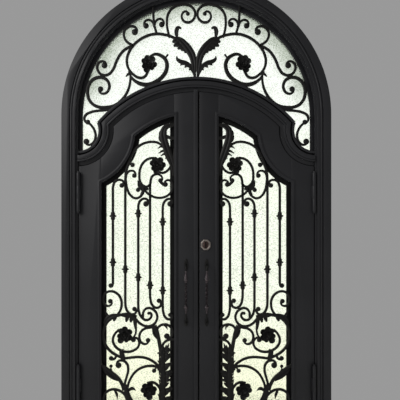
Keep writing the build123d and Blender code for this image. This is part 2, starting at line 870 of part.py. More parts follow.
def transom_scrolls():
    """The left half of the transom's ironwork."""
    main_arc = [
        (-10, 261), (-12, 312), (-24, 373), (-55, 438), (-103, 497), (-157, 538), (-219, 558),
        (-280, 563), (-342, 548), (-397, 517), (-441, 473), (-469, 421), (-477, 370), (-462, 319),
        (-428, 281), (-390, 262), (-356, 269), (-332, 305),
    ]
    rose_crescent = [
        (-464, 308), (-448, 269), (-417, 238), (-376, 219), (-328, 216), (-274, 237), (-229, 274),
        (-202, 322), (-207, 377), (-239, 412), (-284, 424), (-318, 408),
    ]
    side_scroll = [
        (-453, 285), (-454, 237), (-470, 175), (-506, 117), (-557, 75), (-622, 59), (-681, 65),
        (-725, 96), (-746, 148), (-741, 204), (-713, 247), (-670, 265), (-625, 255), (-600, 223),
        (-601, 183), (-628, 155), (-661, 161), (-671, 187),
    ]
    high_scroll = [
        (-432, 486), (-490, 456), (-526, 416), (-549, 373), (-569, 324), (-603, 286), (-644, 282),
        (-674, 308), (-679, 346), (-657, 373), (-627, 370), (-616, 346),
    ]
    hook_scroll = [
        (-434, 484), (-476, 509), (-495, 541), (-495, 579), (-472, 607), (-438, 616), (-410, 599),
        (-408, 570),
    ]
    crown_scroll = [
        (-183, 538), (-198, 596), (-202, 650), (-192, 703), (-159, 743), (-116, 762), (-68, 764),
        (-26, 743), (-8, 702), (-24, 658), (-62, 642), (-94, 661), (-98, 698), (-75, 718), (-51, 705),
    ]
    foot_scroll = [(-554, 64), (-616, 42), (-675, 36), (-728, 25), (-763, 2), (-767, -29), (-752, -51)]
    low_scroll = [
        (-749, -40), (-718, -68), (-698, -102), (-692, -143), (-708, -183), (-740, -198), (-767, -183),
    ]
    return [
        forged_bar(on_transom(main_arc), iron_width + 1),
        forged_bar(on_transom(rose_crescent), iron_width * 1.4),
        *scroll(on_transom(side_scroll), eye_radius + 3, iron_width + 2),
        *scroll(on_transom(high_scroll), eye_radius + 4, iron_width + 1),
        *scroll(on_transom(hook_scroll), eye_radius + 5),
        forged_bar(on_transom([(-270, 558), (-285, 609), (-293, 661), (-295, 777)]), end=tip_width),
        *scroll(
            on_transom([(-289, 623), (-308, 653), (-337, 659), (-358, 640), (-358, 614)]), eye_radius + 3
        ),
        *scroll(
            on_transom([(-292, 630), (-274, 661), (-246, 666), (-224, 647), (-226, 621)]), eye_radius + 3
        ),
        *scroll(on_transom(crown_scroll)),
        *scroll(on_transom(foot_scroll)),
        *scroll(on_transom(low_scroll), eye_radius + 4),
        leaf_blade(on_transom([(-226, 367), (-209, 394), (-186, 421)]), iron_width),
        leaf_blade(on_transom([(-454, 288), (-465, 264), (-484, 244)]), iron_width),
    ]


def transom_leaves():
    """The pair of acanthus leaves at the foot of the main arcs."""
    lobes = (
        ((-48, 395), (-60, 410), (-58, 424), 1.6),
        ((-62, 420), (-88, 432), (-95, 444), 1.9),
        ((-88, 450), (-122, 443), (-138, 450), 2.2),
        ((-110, 478), (-146, 464), (-164, 468), 2.2),
        ((-126, 500), (-156, 488), (-173, 496), 1.9),
        ((-30, 300), (-44, 296), (-46, 286), 1.0),
        ((-48, 330), (-68, 322), (-70, 312), 1.2),
        ((-76, 352), (-94, 342), (-96, 334), 1.2),
    )
    half = [
        leaf_blade(on_transom([(-12, 262), (-33, 367), (-80, 450), (-150, 521)]), leaf_rib * 1.5),
        leaf_blade(on_transom([(-10, 264), (-38, 319), (-79, 356), (-120, 371), (-135, 408)]), leaf_rib),
        leaf_blade(on_transom([(-135, 520), (-142, 579), (-127, 604), (-96, 589)]), iron_width * 1.6),
        forged_bar(on_transom([(-24, 262), (0, 268), (24, 262)]), iron_width * 1.6),
        *[leaf_blade(on_transom(points), iron_width * size) for *points, size in lobes],
    ]
    shape = fused(half)
    return shape + mirror(shape, about=Plane.YZ)


def transom_ironwork():
    return slab(
        fused(transom_scrolls()) & transom_panel(bar_height, 0), iron_y, iron_y + iron_thickness
    )


def parts_of_leaf(side):
    """Every piece of one leaf, named for its side; the right leaf is the left one's twin."""
    turn = other_hand if side == "right" else (lambda shape: shape)
    meeting_x = left_meeting_x if side == "left" else -right_meeting_x
    pieces = {
        "hinge_stile": make_hinge_stile(),
        "meeting_stile": make_meeting_stile(meeting_x),
        "top_rail": make_top_rail(),
        "bottom_rail": make_bottom_rail(),
        "opening_moulding": make_moulding(),
        "glass_sash": make_leaf_sash(),
        "door_glass": make_leaf_glass(),
        "grille": left_grille(leaf_bars() + upper_scrolls() + middle_scrolls() + foot_scrolls()),
        "grille_roses": Compound(children=[make_rose(place, iron_y) for place in on_leaf(leaf_roses)]),
        "upper_acanthus": left_grille(upper_acanthus(), iron_y - leaf_sheet, iron_y),
        "lower_acanthus": left_grille(lower_acanthus(), iron_y - leaf_sheet, iron_y),
        "hinge_knuckles": Compound(children=[make_leaf_hinge(z) for z in hinge_heights]),
        "pull_handle": make_pull(-pull_x),
    }
    return {f"{side}_{name}": turn(shape) for name, shape in pieces.items()}


def all_parts():
    left_rose = make_rose(on_transom([transom_rose])[0], iron_y)
    parts = {
        "left_jamb": other_hand(make_jamb()),
        "right_jamb": make_jamb(),
        "arch_head": make_arch(),
        "sill": make_sill(),
        "transom_bar": make_transom_bar(),
        "head_stop": make_head_stop(),
        "left_stop": other_hand(make_side_stop()),
        "right_stop": make_side_stop(),
        "transom_sash": make_transom_sash(),
        "transom_glass": make_transom_glass(),
        "transom_scrolls_left": transom_ironwork(),
        "transom_scrolls_right": other_hand(transom_ironwork()),
        "transom_acanthus": slab(
            transom_leaves() & transom_panel(bar_height, 0), iron_y - leaf_sheet, iron_y
        ),
        "transom_roses": Compound(children=[left_rose, other_hand(left_rose)]),
        "left_frame_hinges": Compound(children=[make_frame_hinge(z) for z in hinge_heights]),
        "right_frame_hinges": other_hand(Compound(children=[make_frame_hinge(z) for z in hinge_heights])),
        "astragal": make_astragal(),
        "lock_cylinder": make_lock(),
    }
    parts.update(parts_of_leaf("left"))
    parts.update(parts_of_leaf("right"))
    return parts


os.makedirs("parts", exist_ok=True)
for name, shape in all_parts().items():
    export_step(shape, f"parts/{name}.step")
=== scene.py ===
import math

import bpy
from mathutils import Matrix, Vector


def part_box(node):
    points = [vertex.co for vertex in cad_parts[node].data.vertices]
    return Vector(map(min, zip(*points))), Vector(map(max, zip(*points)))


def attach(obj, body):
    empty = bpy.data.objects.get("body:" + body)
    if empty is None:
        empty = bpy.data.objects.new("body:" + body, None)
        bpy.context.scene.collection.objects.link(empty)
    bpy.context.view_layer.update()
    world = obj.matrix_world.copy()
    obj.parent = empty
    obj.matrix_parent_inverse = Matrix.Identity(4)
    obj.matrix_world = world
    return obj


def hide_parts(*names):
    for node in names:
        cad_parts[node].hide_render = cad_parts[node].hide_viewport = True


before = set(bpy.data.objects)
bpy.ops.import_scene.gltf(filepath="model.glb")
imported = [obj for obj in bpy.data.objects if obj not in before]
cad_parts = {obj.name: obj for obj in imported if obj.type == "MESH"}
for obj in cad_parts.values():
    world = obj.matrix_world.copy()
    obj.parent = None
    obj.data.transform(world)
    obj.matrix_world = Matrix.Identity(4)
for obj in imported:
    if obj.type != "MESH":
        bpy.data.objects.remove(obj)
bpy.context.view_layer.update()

bl_info = {
    "name": "Wrought Iron Entry Door",
    "version": (1, 0, 0),
    "blender": (4, 5, 0),
    "location": "3D View > Sidebar > Entry Door",
    "description": "Dresses the door unit: coated steel, forged scrollwork, textured glass and pulls",
    "category": "Object",
}

MM = 0.001
SENSOR_WIDTH = 36.0
SIDES = ("left", "right")
FRAME_RUN = ("left_jamb", "arch_head", "right_jamb")
STEEL_NODES = {
    "frame": ["sill", "transom_bar", "head_stop", "left_stop", "right_stop"],
    "left_leaf": ["astragal"],
    "right_leaf": [],
}
LEAF_STEEL = ["hinge_stile", "meeting_stile", "top_rail", "bottom_rail", "opening_moulding"]
SASHES = {"transom_sash": "frame", "left_glass_sash": "left_leaf", "right_glass_sash": "right_leaf"}
HINGE_NODES = {
    "left_frame_hinges": "frame",
    "right_frame_hinges": "frame",
    "left_hinge_knuckles": "left_leaf",
    "right_hinge_knuckles": "right_leaf",
}

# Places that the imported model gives, in metres
leaf_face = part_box("left_hinge_stile")[0].y
iron_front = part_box("left_grille")[0].y
iron_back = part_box("left_grille")[1].y
iron_middle = (iron_front + iron_back) / 2
opening_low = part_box("left_bottom_rail")[1].z
opening_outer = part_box("left_hinge_stile")[1].x
opening_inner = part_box("left_meeting_stile")[0].x
spring_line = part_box("left_jamb")[1].z
transom_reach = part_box("transom_sash")[1].x
transom_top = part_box("transom_sash")[1].z
bar_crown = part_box("transom_bar")[1].z


# Shader maths
class Wire:
    """A socket of a finish, with the arithmetic that the finishes use."""

    def __init__(self, finish, socket):
        self.finish = finish
        self.socket = socket

    def reckon(self, operation, first, second):
        return self.finish.add("ShaderNodeMath", {"operation": operation}, {0: first, 1: second})

    def __add__(self, other):
        return self.reckon("ADD", self, other)

    __radd__ = __add__

    def __mul__(self, other):
        return self.reckon("MULTIPLY", self, other)

    __rmul__ = __mul__

    def between(self, low, high):
        """0 under low, 1 over high, and smooth between them."""
        settings = {"interpolation_type": "SMOOTHSTEP"}
        sockets = {0: self, 1: low, 2: high, 3: 0.0, 4: 1.0}
        return self.finish.add("ShaderNodeMapRange", settings, sockets)


class Finish:
    """One procedural material, built on Object coordinates."""

    def __init__(self, name):
        self.material = bpy.data.materials.new(name)
        self.material.use_nodes = True
        self.tree = self.material.node_tree
        self.shader = self.tree.nodes["Principled BSDF"]
        self.place = self.add("ShaderNodeTexCoord", output="Object")

    def add(self, kind, settings=None, sockets=None, output=0):
        node = self.tree.nodes.new(kind)
        for key, value in (settings or {}).items():
            setattr(node, key, value)
        for key, value in (sockets or {}).items():
            self.plug(node.inputs[key], value)
        return Wire(self, node.outputs[output])

    def plug(self, socket, value):
        if isinstance(value, Wire):
            self.tree.links.new(value.socket, socket)
        else:
            socket.default_value = value

    def noise(self, scale, detail=3.0, roughness=0.5, place=None):
        place = place or self.place
        sockets = {"Vector": place, "Scale": scale, "Detail": detail, "Roughness": roughness}
        return self.add("ShaderNodeTexNoise", None, sockets)

    def cells(self, feature, scale):
        sockets = {"Vector": self.place, "Scale": scale}
        return self.add("ShaderNodeTexVoronoi", {"feature": feature}, sockets)

    def stretched(self, scale):
        return self.add("ShaderNodeMapping", None, {"Vector": self.place, "Scale": scale})

    def blend(self, factor, first, second):
        return self.add("ShaderNodeMix", {"data_type": "RGBA"}, {0: factor, 6: first, 7: second}, 2)

    def bump(self, height, strength, distance):
        sockets = {"Height": height, "Strength": strength, "Distance": distance}
        return self.add("ShaderNodeBump", None, sockets)

    def set(self, **sockets):
        for key, value in sockets.items():
            label = key.replace("_", " ").title().replace("Ior", "IOR")
            self.plug(self.shader.inputs[label], value)


def shaded(color, amount):
    """A colour made darker or lighter."""
    return (color[0] * amount, color[1] * amount, color[2] * amount, 1.0)


def powder_coat():
    """Charcoal satin powder coat: a fine orange peel, faint cloudiness and pale flecks."""
    tone = bpy.context.scene.door_colours.steel
    finish = Finish("Charcoal powder coat")
    cloud = finish.noise(3.0, 4.0)
    peel = finish.noise(420.0, 2.0)
    grit = finish.noise(1500.0, 1.0)
    fleck = grit.between(0.62, 0.72)
    base = finish.blend(cloud.between(0.3, 0.7), shaded(tone, 0.86), shaded(tone, 1.14))
    color = finish.blend(fleck * 0.35, base, shaded(tone, 1.9))
    finish.set(
        base_color=color,
        roughness=0.42 + cloud * 0.1 + peel * 0.06,
        normal=finish.bump(peel * 0.7 + grit * 0.3, 0.35, 0.0004),
        specular_ior_level=0.5,
    )
    return finish.material


def forged_iron():
    """Near-black forged iron: hammer marks under thin paint, worn a little warm on the high places."""
    tone = bpy.context.scene.door_colours.iron
    finish = Finish("Forged black iron")
    hammer = finish.cells("SMOOTH_F1", 110.0)
    scale = finish.noise(650.0, 3.0, 0.6)
    patch = finish.noise(14.0, 4.0)
    worn = finish.add("ShaderNodeNewGeometry", output="Pointiness").between(0.51, 0.6)
    base = finish.blend(patch.between(0.35, 0.7), shaded(tone, 0.75), shaded(tone, 1.3))
    color = finish.blend(worn * 0.5, base, shaded((tone[0] * 1.3, tone[1] * 1.15, tone[2]), 2.6))
    finish.set(
        base_color=color,
        roughness=0.42 + patch * 0.16,
        metallic=0.25,
        normal=finish.bump(hammer * 0.8 + scale * 0.2, 0.5, 0.0012),
    )
    return finish.material


def rain_glass():
    """Textured privacy glass, whiter above, pale green and then straw below, with painted shade
    darkening it near the arch.
    """
    colours = bpy.context.scene.door_colours
    finish = Finish("Textured privacy glass")
    height = finish.add("ShaderNodeSeparateXYZ", None, {"Vector": finish.place}, "Z")
    chips = finish.cells("F1", 95.0)
    speckle = finish.noise(120.0, 4.0, 0.6)
    drift = finish.noise(7.0, 3.0, 0.55)
    streak = finish.noise(60.0, 2.0, 0.5, finish.stretched((1.0, 1.0, 0.35)))
    low, middle = tuple(colours.glass_low), tuple(colours.glass_middle)
    tint = finish.blend(height.between(0.25, 1.3), low, middle)
    tint = finish.blend(height.between(1.7, 2.5), tint, tuple(colours.glass_high))
    # Painted shade: near the arch, above the springing line, the glass is blended towards the dark
    # colour as the frame's shadow on it.
    spring = {"Vector": finish.place, "Location": (0, 0, -spring_line)}
    from_spring = finish.add("ShaderNodeMapping", None, spring)
    reach = finish.add("ShaderNodeVectorMath", {"operation": "LENGTH"}, {0: from_spring}, "Value")
    above = height.between(spring_line, spring_line + 0.25)
    shade = reach.between(0.60, 0.80) * above * 0.6
    cloud = drift.between(0.35, 0.75) * 0.10 + streak.between(0.5, 0.8) * 0.06
    dots = speckle.between(0.52, 0.64) * 0.6
    color = finish.blend(cloud + dots + shade, tint, (0.22, 0.27, 0.19, 1.0))
    finish.set(
        base_color=color,
        roughness=0.16,
        transmission_weight=0.92,
        ior=1.46,
        normal=finish.bump(chips * 0.6 + speckle * 0.6 + streak * 0.3, 0.55, 0.003),
    )
    return finish.material


def bronze(name, tone, roughness):
    """Oil-rubbed bronze: dark in the hollows and rubbed lighter on the high places."""
    finish = Finish(name)
    rubbed = finish.add("ShaderNodeNewGeometry", output="Pointiness").between(0.49, 0.6)
    stain = finish.noise(60.0, 4.0, 0.6)
    grain = finish.noise(900.0, 2.0)
    base = finish.blend(stain.between(0.35, 0.65), shaded(tone, 0.7), shaded(tone, 1.25))
    finish.set(
        base_color=finish.blend(rubbed * 0.6, base, shaded(tone, 2.4)),
        metallic=0.9,
        roughness=roughness + stain * 0.15,
        normal=finish.bump(grain, 0.3, 0.0004),
    )
    return finish.material


def glazing_bead_in_shade():
    """Near-black on the beads that hold the leaves' glass: painted shade of their deep recess, on beads
    that are steel like the frame, with a little dust.
    """
    finish = Finish("Glazing bead in painted shade")
    dust = finish.noise(260.0, 3.0)
    bare_shade, dusty = (0.004, 0.004, 0.004, 1), (0.010, 0.010, 0.0095, 1)
    color = finish.blend(dust.between(0.45, 0.75), bare_shade, dusty)
    finish.set(base_color=color, roughness=0.62 + dust * 0.15, specular_ior_level=0.3)
    return finish.material


def rubber():
    """Soft black rubber, dusty on its face; the same black is also the painted shade inside the
    deadbolt's keyway.
    """
    finish = Finish("Black rubber and keyway shade")
    dust = finish.noise(500.0, 2.0)
    color = finish.blend(dust, (0.003, 0.003, 0.003, 1), (0.012, 0.011, 0.01, 1))
    finish.set(base_color=color, roughness=0.8, specular_ior_level=0.2)
    return finish.material


def studio_floor():
    finish = Finish("Pale studio floor")
    cloud = finish.noise(2.0, 3.0)
    tone = bpy.context.scene.door_colours.floor
    finish.set(base_color=finish.blend(cloud, shaded(tone, 0.98), shaded(tone, 1.02)), roughness=0.8)
    return finish.material


def material(name, make):
    """A finish is made once and then shared."""
    return bpy.data.materials.get(name) or make()


def coat():
    return material("Charcoal powder coat", powder_coat)


def iron():
    return material("Forged black iron", forged_iron)


# Modelling helpers
def put_down():
    """Leaves edit mode, with nothing selected."""
    if bpy.context.object and bpy.context.object.mode != "OBJECT":
        bpy.ops.object.mode_set(mode="OBJECT")
    bpy.ops.object.select_all(action="DESELECT")


def pick(*objects):
    put_down()
    for thing in objects:
        thing.select_set(True)
    bpy.context.view_layer.objects.active = objects[0]


def edit_all(thing):
    pick(thing)
    bpy.ops.object.mode_set(mode="EDIT")
    bpy.ops.mesh.select_all(action="SELECT")


def stretch(thing, value, centre=None):
    """Resizes a whole mesh, about a place if one is given."""
    about = {"center_override": centre} if centre else {}
    edit_all(thing)
    bpy.ops.transform.resize(value=value, orient_type="GLOBAL", **about)
    bpy.ops.object.mode_set(mode="OBJECT")


def own_copy(pattern):
    """A copy with its own mesh."""
    copy = pattern.copy()
    copy.data = pattern.data.copy()
    bpy.context.collection.objects.link(copy)
    return copy


def settle(thing, name, body, finish, slot, *nodes):
    """Names a finished piece, takes its place into its mesh and hands it to its body."""
    pick(thing)
    bpy.ops.object.transform_apply(location=True, rotation=True, scale=True)
    thing.name = name
    thing.data.name = name
    thing.data.materials.clear()
    thing.data.materials.append(finish)
    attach(thing, body)
    if nodes:
        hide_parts(*nodes)
    return thing


def merged(things):
    """Joins pieces into the first of them."""
    pick(*things)
    if len(things) > 1:
        bpy.ops.object.join()
    return bpy.context.object


def twin(thing):
    """A mirrored copy over the middle plane, with its own mesh."""
    pick(thing)
    bpy.ops.object.duplicate()
    copy = bpy.context.object
    stretch(copy, (-1, 1, 1), (0, 0, 0))
    edit_all(copy)
    bpy.ops.mesh.flip_normals()
    bpy.ops.object.mode_set(mode="OBJECT")
    return copy


def finish_modifiers(thing):
    pick(thing)
    for modifier in list(thing.modifiers):
        bpy.ops.object.modifier_apply(modifier=modifier.name)


def round_edges(thing, width, segments=2, angle=30):
    modifier = thing.modifiers.new("Edges", "BEVEL")
    modifier.width = width
    modifier.segments = segments
    modifier.limit_method = "ANGLE"
    modifier.angle_limit = math.radians(angle)
    modifier.use_clamp_overlap = True
    modifier.harden_normals = False
    finish_modifiers(thing)


def smooth(thing, angle=40):
    pick(thing)
    bpy.ops.object.shade_smooth_by_angle(angle=math.radians(angle))


def copied(node):
    """A copy of a steel node, free of its body, with its loose triangles merged."""
    pick(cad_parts[node])
    bpy.ops.object.duplicate()
    copy = bpy.context.object
    for key in [key for key in copy.keys() if key.startswith("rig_")]:
        del copy[key]
    copy.parent = None
    edit_all(copy)
    bpy.ops.mesh.remove_doubles(threshold=0.02 * MM)
    bpy.ops.object.mode_set(mode="OBJECT")
    return copy


def softened(copy, width, segments=2):
    """Clears the edges inside its flat faces and breaks the sharp ones."""
    edit_all(copy)
    bpy.ops.mesh.dissolve_limited(angle_limit=math.radians(0.4))
    bpy.ops.object.mode_set(mode="OBJECT")
    round_edges(copy, width, segments)
    smooth(copy, 35)
    return copy


def welded_frame():
    """Jambs and arch as one run, welded and ground flush where they meet."""
    whole = merged([copied(node) for node in FRAME_RUN])
    edit_all(whole)
    bpy.ops.mesh.select_mode(type="FACE")
    bpy.ops.mesh.select_all(action="DESELECT")
    bpy.ops.object.mode_set(mode="OBJECT")
    spots = whole.data.vertices
    for face in whole.data.polygons:
        face.select = all(abs(spots[i].co.z - spring_line) < 0.02 * MM for i in face.vertices)
    bpy.ops.object.mode_set(mode="EDIT")
    bpy.ops.mesh.delete(type="FACE")
    bpy.ops.mesh.select_mode(type="VERT")
    bpy.ops.mesh.select_all(action="SELECT")
    bpy.ops.mesh.remove_doubles(threshold=0.05 * MM)
    bpy.ops.object.mode_set(mode="OBJECT")
    return whole


def block(size, place, rounding, segments=4):
    """A pillow-edged block, in millimetres about a place."""
    put_down()
    bpy.ops.mesh.primitive_cube_add(size=1, location=place)
    thing = bpy.context.object
    thing.scale = [side * MM for side in size]
    bpy.ops.object.transform_apply(location=True, rotation=True, scale=True)
    round_edges(thing, rounding * MM, segments)
    return thing


def bead(radius, place, sides, rings):
    """A ball, to be flattened or cut."""
    put_down()
    bpy.ops.mesh.primitive_uv_sphere_add(segments=sides, ring_count=rings, radius=radius, location=place)
    return bpy.context.object


def lathe(profile, sides, place, turn=0.0):
    """A turned form on an upright axle, ring by ring: radius against height, in millimetres."""
    put_down()
    radius, height = profile[0]
    low = (place[0], place[1], place[2] + height * MM)
    bpy.ops.mesh.primitive_circle_add(vertices=sides, radius=radius * MM, fill_type="NGON", location=low)
    thing = bpy.context.object
    bpy.ops.object.transform_apply(location=True, rotation=False, scale=False)
    edit_all(thing)
    for next_radius, next_height in profile[1:]:
        rise = {"value": (0, 0, (next_height - height) * MM), "orient_type": "GLOBAL"}
        bpy.ops.mesh.extrude_region_move(TRANSFORM_OT_translate=rise)
        share = next_radius / radius
        bpy.ops.transform.resize(
            value=(share, share, 1), center_override=(place[0], place[1], 0), orient_type="GLOBAL"
        )
        radius, height = next_radius, next_height
    bpy.ops.mesh.select_all(action="SELECT")
    if turn:
        bpy.ops.transform.rotate(value=math.radians(turn), orient_axis="Z", center_override=place)
    bpy.ops.mesh.normals_make_consistent(inside=False)
    bpy.ops.object.mode_set(mode="OBJECT")
    return thing


def cross_section(name, points):
    """A closed outline, one unit to a bar's half width, that bars are drawn through."""
    put_down()
    bpy.ops.curve.primitive_bezier_circle_add()
    outline = bpy.context.object
    outline.name = name
    outline.data.splines.clear()
    spline = outline.data.splines.new("POLY")
    spline.points.add(len(points) - 1)
    for point, (x, y) in zip(spline.points, points):
        point.co = (x * MM, y * MM, 0, 1)
    spline.use_cyclic_u = True
    return outline


def bar_section():
    """A flat bar with softened corners."""
    depth = 0.86
    corner = 0.3
    cut = ((1, depth - corner), (0.91, depth - corner * 0.3), (1 - corner, depth))
    points = []
    for sx, sy in ((1, 1), (-1, 1), (-1, -1), (1, -1)):
        turned = [(sx * x, sy * y) for x, y in cut]
        points += turned if sx * sy > 0 else turned[::-1]
    return cross_section("bar_section", points)


def leaf_section():
    """A sheet leaf: two crowned halves either side of a sunk midrib."""
    front = [(0.8, 0.1), (0.5, 0.2), (0.2, 0.16)]
    back = [(-1.0, -0.06), (-0.5, -0.1), (0.0, -0.18), (0.5, -0.1)]
    mirrored = [(-x, y) for x, y in front[::-1]]
    return cross_section("leaf_section", [(1.0, -0.06), *front, (0.0, 0.02), *mirrored, *back])


def blank_curve(section):
    """An empty curve with closed ends, which its section is to be drawn along."""
    put_down()
    bpy.ops.curve.primitive_bezier_curve_add()
    thing = bpy.context.object
    curve = thing.data
    curve.splines.clear()
    curve.dimensions = "3D"
    curve.bevel_mode = "OBJECT"
    curve.bevel_object = section
    curve.use_fill_caps = True
    return thing


def add_run(curve, route):
    """A smooth run through places, each with the radius that the section has there."""
    spline = curve.splines.new("BEZIER")
    spline.bezier_points.add(len(route) - 1)
    for point, (x, y, z, radius) in zip(spline.bezier_points, route):
        point.co = (x, y, z)
        point.handle_left_type = "AUTO"
        point.handle_right_type = "AUTO"
        point.radius = radius
    return spline


def drawn(thing):
    """Makes a curve with its section a mesh, and takes the section away."""
    section = thing.data.bevel_object
    pick(thing)
    bpy.ops.object.convert(target="MESH")
    made = bpy.context.object
    bpy.data.objects.remove(section)
    return made


# Ironwork: the share of a bar that is drawn out, and the usual bar width and eye radius on the grids
DRAWN_SHARE = 0.28
BAR = 14
EYE = 15


class Forge:
    """Gathers the bars, leaves and eyes of one piece of ironwork, and then makes its mesh.

    They lie flat on the floor first. Points are grid places, which place() turns into millimetres, and
    lifts are millimetres towards the viewer."""

    def __init__(self, place):
        self.place = place
        self.bars = []
        self.leaves = []
        self.eyes = []
        self.scale = bpy.context.scene.door_sizes.iron_width / MM / BAR

    def bar(self, points, width=None, start=None, end=None):
        """A flat bar of even width, drawn out towards its start or end if given."""
        width = (width or BAR) * self.scale
        start = start and start * self.scale
        end = end and end * self.scale
        last = len(points) - 1
        thinner_start = width - (start or width)
        thinner_end = width - (end or width)
        radii = []
        for i in range(last + 1):
            to_start = max(1 - i / last / DRAWN_SHARE, 0)
            to_end = max(1 - (last - i) / last / DRAWN_SHARE, 0)
            radii.append((width - thinner_start * to_start - thinner_end * to_end) / 2)
        self.bars.append((self.place(points), radii, [0.0] * len(points)))

    def scroll(self, points, eye=None, width=None, start=None):
        """A bar drawn down to its tip, with a round eye on the inner side of its curl."""
        sizes = bpy.context.scene.door_sizes
        eye = (eye or EYE) * sizes.eye_radius / MM / EYE
        tip = sizes.tip_width / MM
        self.bar(points, width, start, tip / self.scale)
        a, b, c = (Vector(p) for p in self.place(points)[-3:])
        ahead = (c - b).normalized()
        before = (b - a).normalized()
        inward = 1 if before.x * ahead.y - before.y * ahead.x > 0 else -1
        bend = before.angle(ahead) / 2 * inward
        heading = Matrix.Rotation(bend, 2) @ ahead
        centre = c + Vector((-heading.y, heading.x)) * inward * (eye - tip / 2)
        self.eyes.append((centre.x, centre.y, eye))

    def eye(self, point, radius):
        x, y = self.place([point])[0]
        self.eyes.append((x, y, radius * bpy.context.scene.door_sizes.eye_radius / MM / EYE))

    def leaf(self, points, width, lift, root=None, tip=3.0):
        """A pointed leaf that rises from its root and rolls down at its tip."""
        self.blade(self.place(points), width, lift, root, tip)

    def blade(self, points, width, lift, root=None, tip=3.0):
        last = len(points) - 1
        root = width * 0.5 if root is None else root
        radii, lifts = [], []
        for i in range(last + 1):
            swell = math.sin(math.pi * i / last)
            end = root if i * 2 < last else tip
            radii.append((end + (width - end) * swell ** 0.8) / 2)
            lifts.append(lift * math.sin(math.pi * min(i / last * 0.8, 1.0)))
        self.leaves.append((points, radii, lifts))

    def acanthus(self, points, width, lift, pairs):
        """A cut leaf: a blade with pairs of lobes that lean ahead along it."""
        route = [Vector(point) for point in self.place(points)]
        self.blade([tuple(point) for point in route], width * 0.62, lift, width * 0.4)
        for pair in range(pairs):
            share = (0.1 + 0.68 * pair / pairs) * (len(route) - 1)
            run = int(share)
            ahead = (route[run + 1] - route[run]).normalized()
            base = route[run].lerp(route[run + 1], share - run)
            reach = width * (0.62 - 0.18 * pair / pairs)
            for side in (-1, 1):
                out = Vector((-ahead.y, ahead.x)) * side
                middle = base + out * reach * 0.62 + ahead * reach * 0.3
                end = base + out * reach * 0.92 + ahead * reach
                lobe = [tuple(base), tuple(middle), tuple(end)]
                self.blade(lobe, width * 0.36, lift * 0.7, width * 0.2)

    def bend(self, section, jobs):
        """One curve for all the bars of a section, made a mesh."""
        thing = blank_curve(section)
        thing.data.twist_mode = "Z_UP"
        thing.data.resolution_u = 6
        for points, radii, lifts in jobs:
            places = zip(points, radii, lifts)
            route = [(x * MM, y * MM, lift * MM, radius) for (x, y), radius, lift in places]
            add_run(thing.data, route).radius_interpolation = "CARDINAL"
        return drawn(thing)

    def make(self, depth):
        """The whole piece, stood up so that its middle lies at a depth."""
        made = []
        if self.bars:
            made.append(self.bend(bar_section(), self.bars))
        if self.leaves:
            made.append(self.bend(leaf_section(), self.leaves))
        flatness = bpy.context.scene.door_sizes.eye_flatness
        for x, y, radius in self.eyes:
            made.append(bead(radius * MM, (x * MM, y * MM, 0), 20, 10))
            stretch(made[-1], (1, 1, flatness))
        whole = merged(made)
        bpy.ops.object.transform_apply(location=True, rotation=True, scale=True)
        edit_all(whole)
        bpy.ops.mesh.remove_doubles(threshold=0.01 * MM)
        bpy.ops.mesh.normals_make_consistent(inside=False)
        upright = {"orient_axis": "X", "orient_type": "GLOBAL", "center_override": (0, 0, 0)}
        bpy.ops.transform.rotate(value=-math.pi / 2, **upright)
        bpy.ops.object.mode_set(mode="OBJECT")
        if max(vertex.co.z for vertex in whole.data.vertices) < 0:
            edit_all(whole)
            bpy.ops.transform.rotate(value=math.pi, **upright)
            bpy.ops.object.mode_set(mode="OBJECT")
        edit_all(whole)
        bpy.ops.transform.translate(value=(0, depth, 0), orient_type="GLOBAL")
        bpy.ops.object.mode_set(mode="OBJECT")
        smooth(whole, 50)
        return whole


# Seal and lip, in millimetres: how far their middles lie behind the leaves' face, and the lip's gap
SEAL_HALF = 4.95
SEAL_DEPTH = 18
SEAL_STRETCH = 2.8
LIP_DEPTH = 11
LIP_GAP = 12

# The transom bar's upper edge, in millimetres: a crown with a hollow shoulder on either side
CROWN_RADIUS = 869.2
SHOULDER_RADIUS = 171
SHOULDER_DROP = 102


def along_arc(centre, radius, first, last, count):
    return [
        (centre.x + radius * math.cos(first + (last - first) * i / count),
         centre.y + radius * math.sin(first + (last - first) * i / count))
        for i in range(count + 1)
    ]


def bar_edge(gap):
    """A crown and a shoulder that follow the transom bar's upper edge, a gap above it."""
    shoulder = Vector((-transom_reach / MM, spring_line / MM - SHOULDER_DROP))
    crown = Vector((0, bar_crown / MM - CROWN_RADIUS))
    near, far = SHOULDER_RADIUS - gap, CROWN_RADIUS + gap
    apart = crown - shoulder
    turn = math.acos((near ** 2 + apart.length ** 2 - far ** 2) / (2 * near * apart.length))
    top = math.atan2(apart.y, apart.x) + turn
    left = along_arc(shoulder, near, -math.pi / 2, top, 10)
    corner = Vector(left[-1]) - crown
    lowest = math.atan2(corner.y, corner.x)
    return along_arc(crown, far, lowest, math.pi - lowest, 24), left


# Grids that the ironwork is drawn on
LEAF_SQUARES = 498
SPRING_ROW = 2054
TRANSOM_WIDE = 783
TRANSOM_LOW = 262
TRANSOM_HIGH = 783
TRANSOM_SASH = 27


def on_leaf(points):
    """Grid places of the left leaf, in millimetres.

    Upper rows hang from the springing line, and lower ones stand on the opening's lower edge."""
    grid = (opening_inner - opening_outer) / MM / LEAF_SQUARES
    placed = []
    for across, up in points:
        x = opening_outer / MM + across * grid
        if up < SPRING_ROW / 2:
            placed.append((x, opening_low / MM + up * grid))
        else:
            placed.append((x, spring_line / MM - (SPRING_ROW - up) * grid))
    return placed


def on_transom(points):
    """Grid places of the transom's left half, in millimetres."""
    low = bar_crown / MM + TRANSOM_SASH
    high = transom_top / MM - TRANSOM_SASH
    square_x = (transom_reach / MM - TRANSOM_SASH) / TRANSOM_WIDE
    square_z = (high - low) / (TRANSOM_HIGH - TRANSOM_LOW)
    return [(across * square_x, low + (up - TRANSOM_LOW) * square_z) for across, up in points]


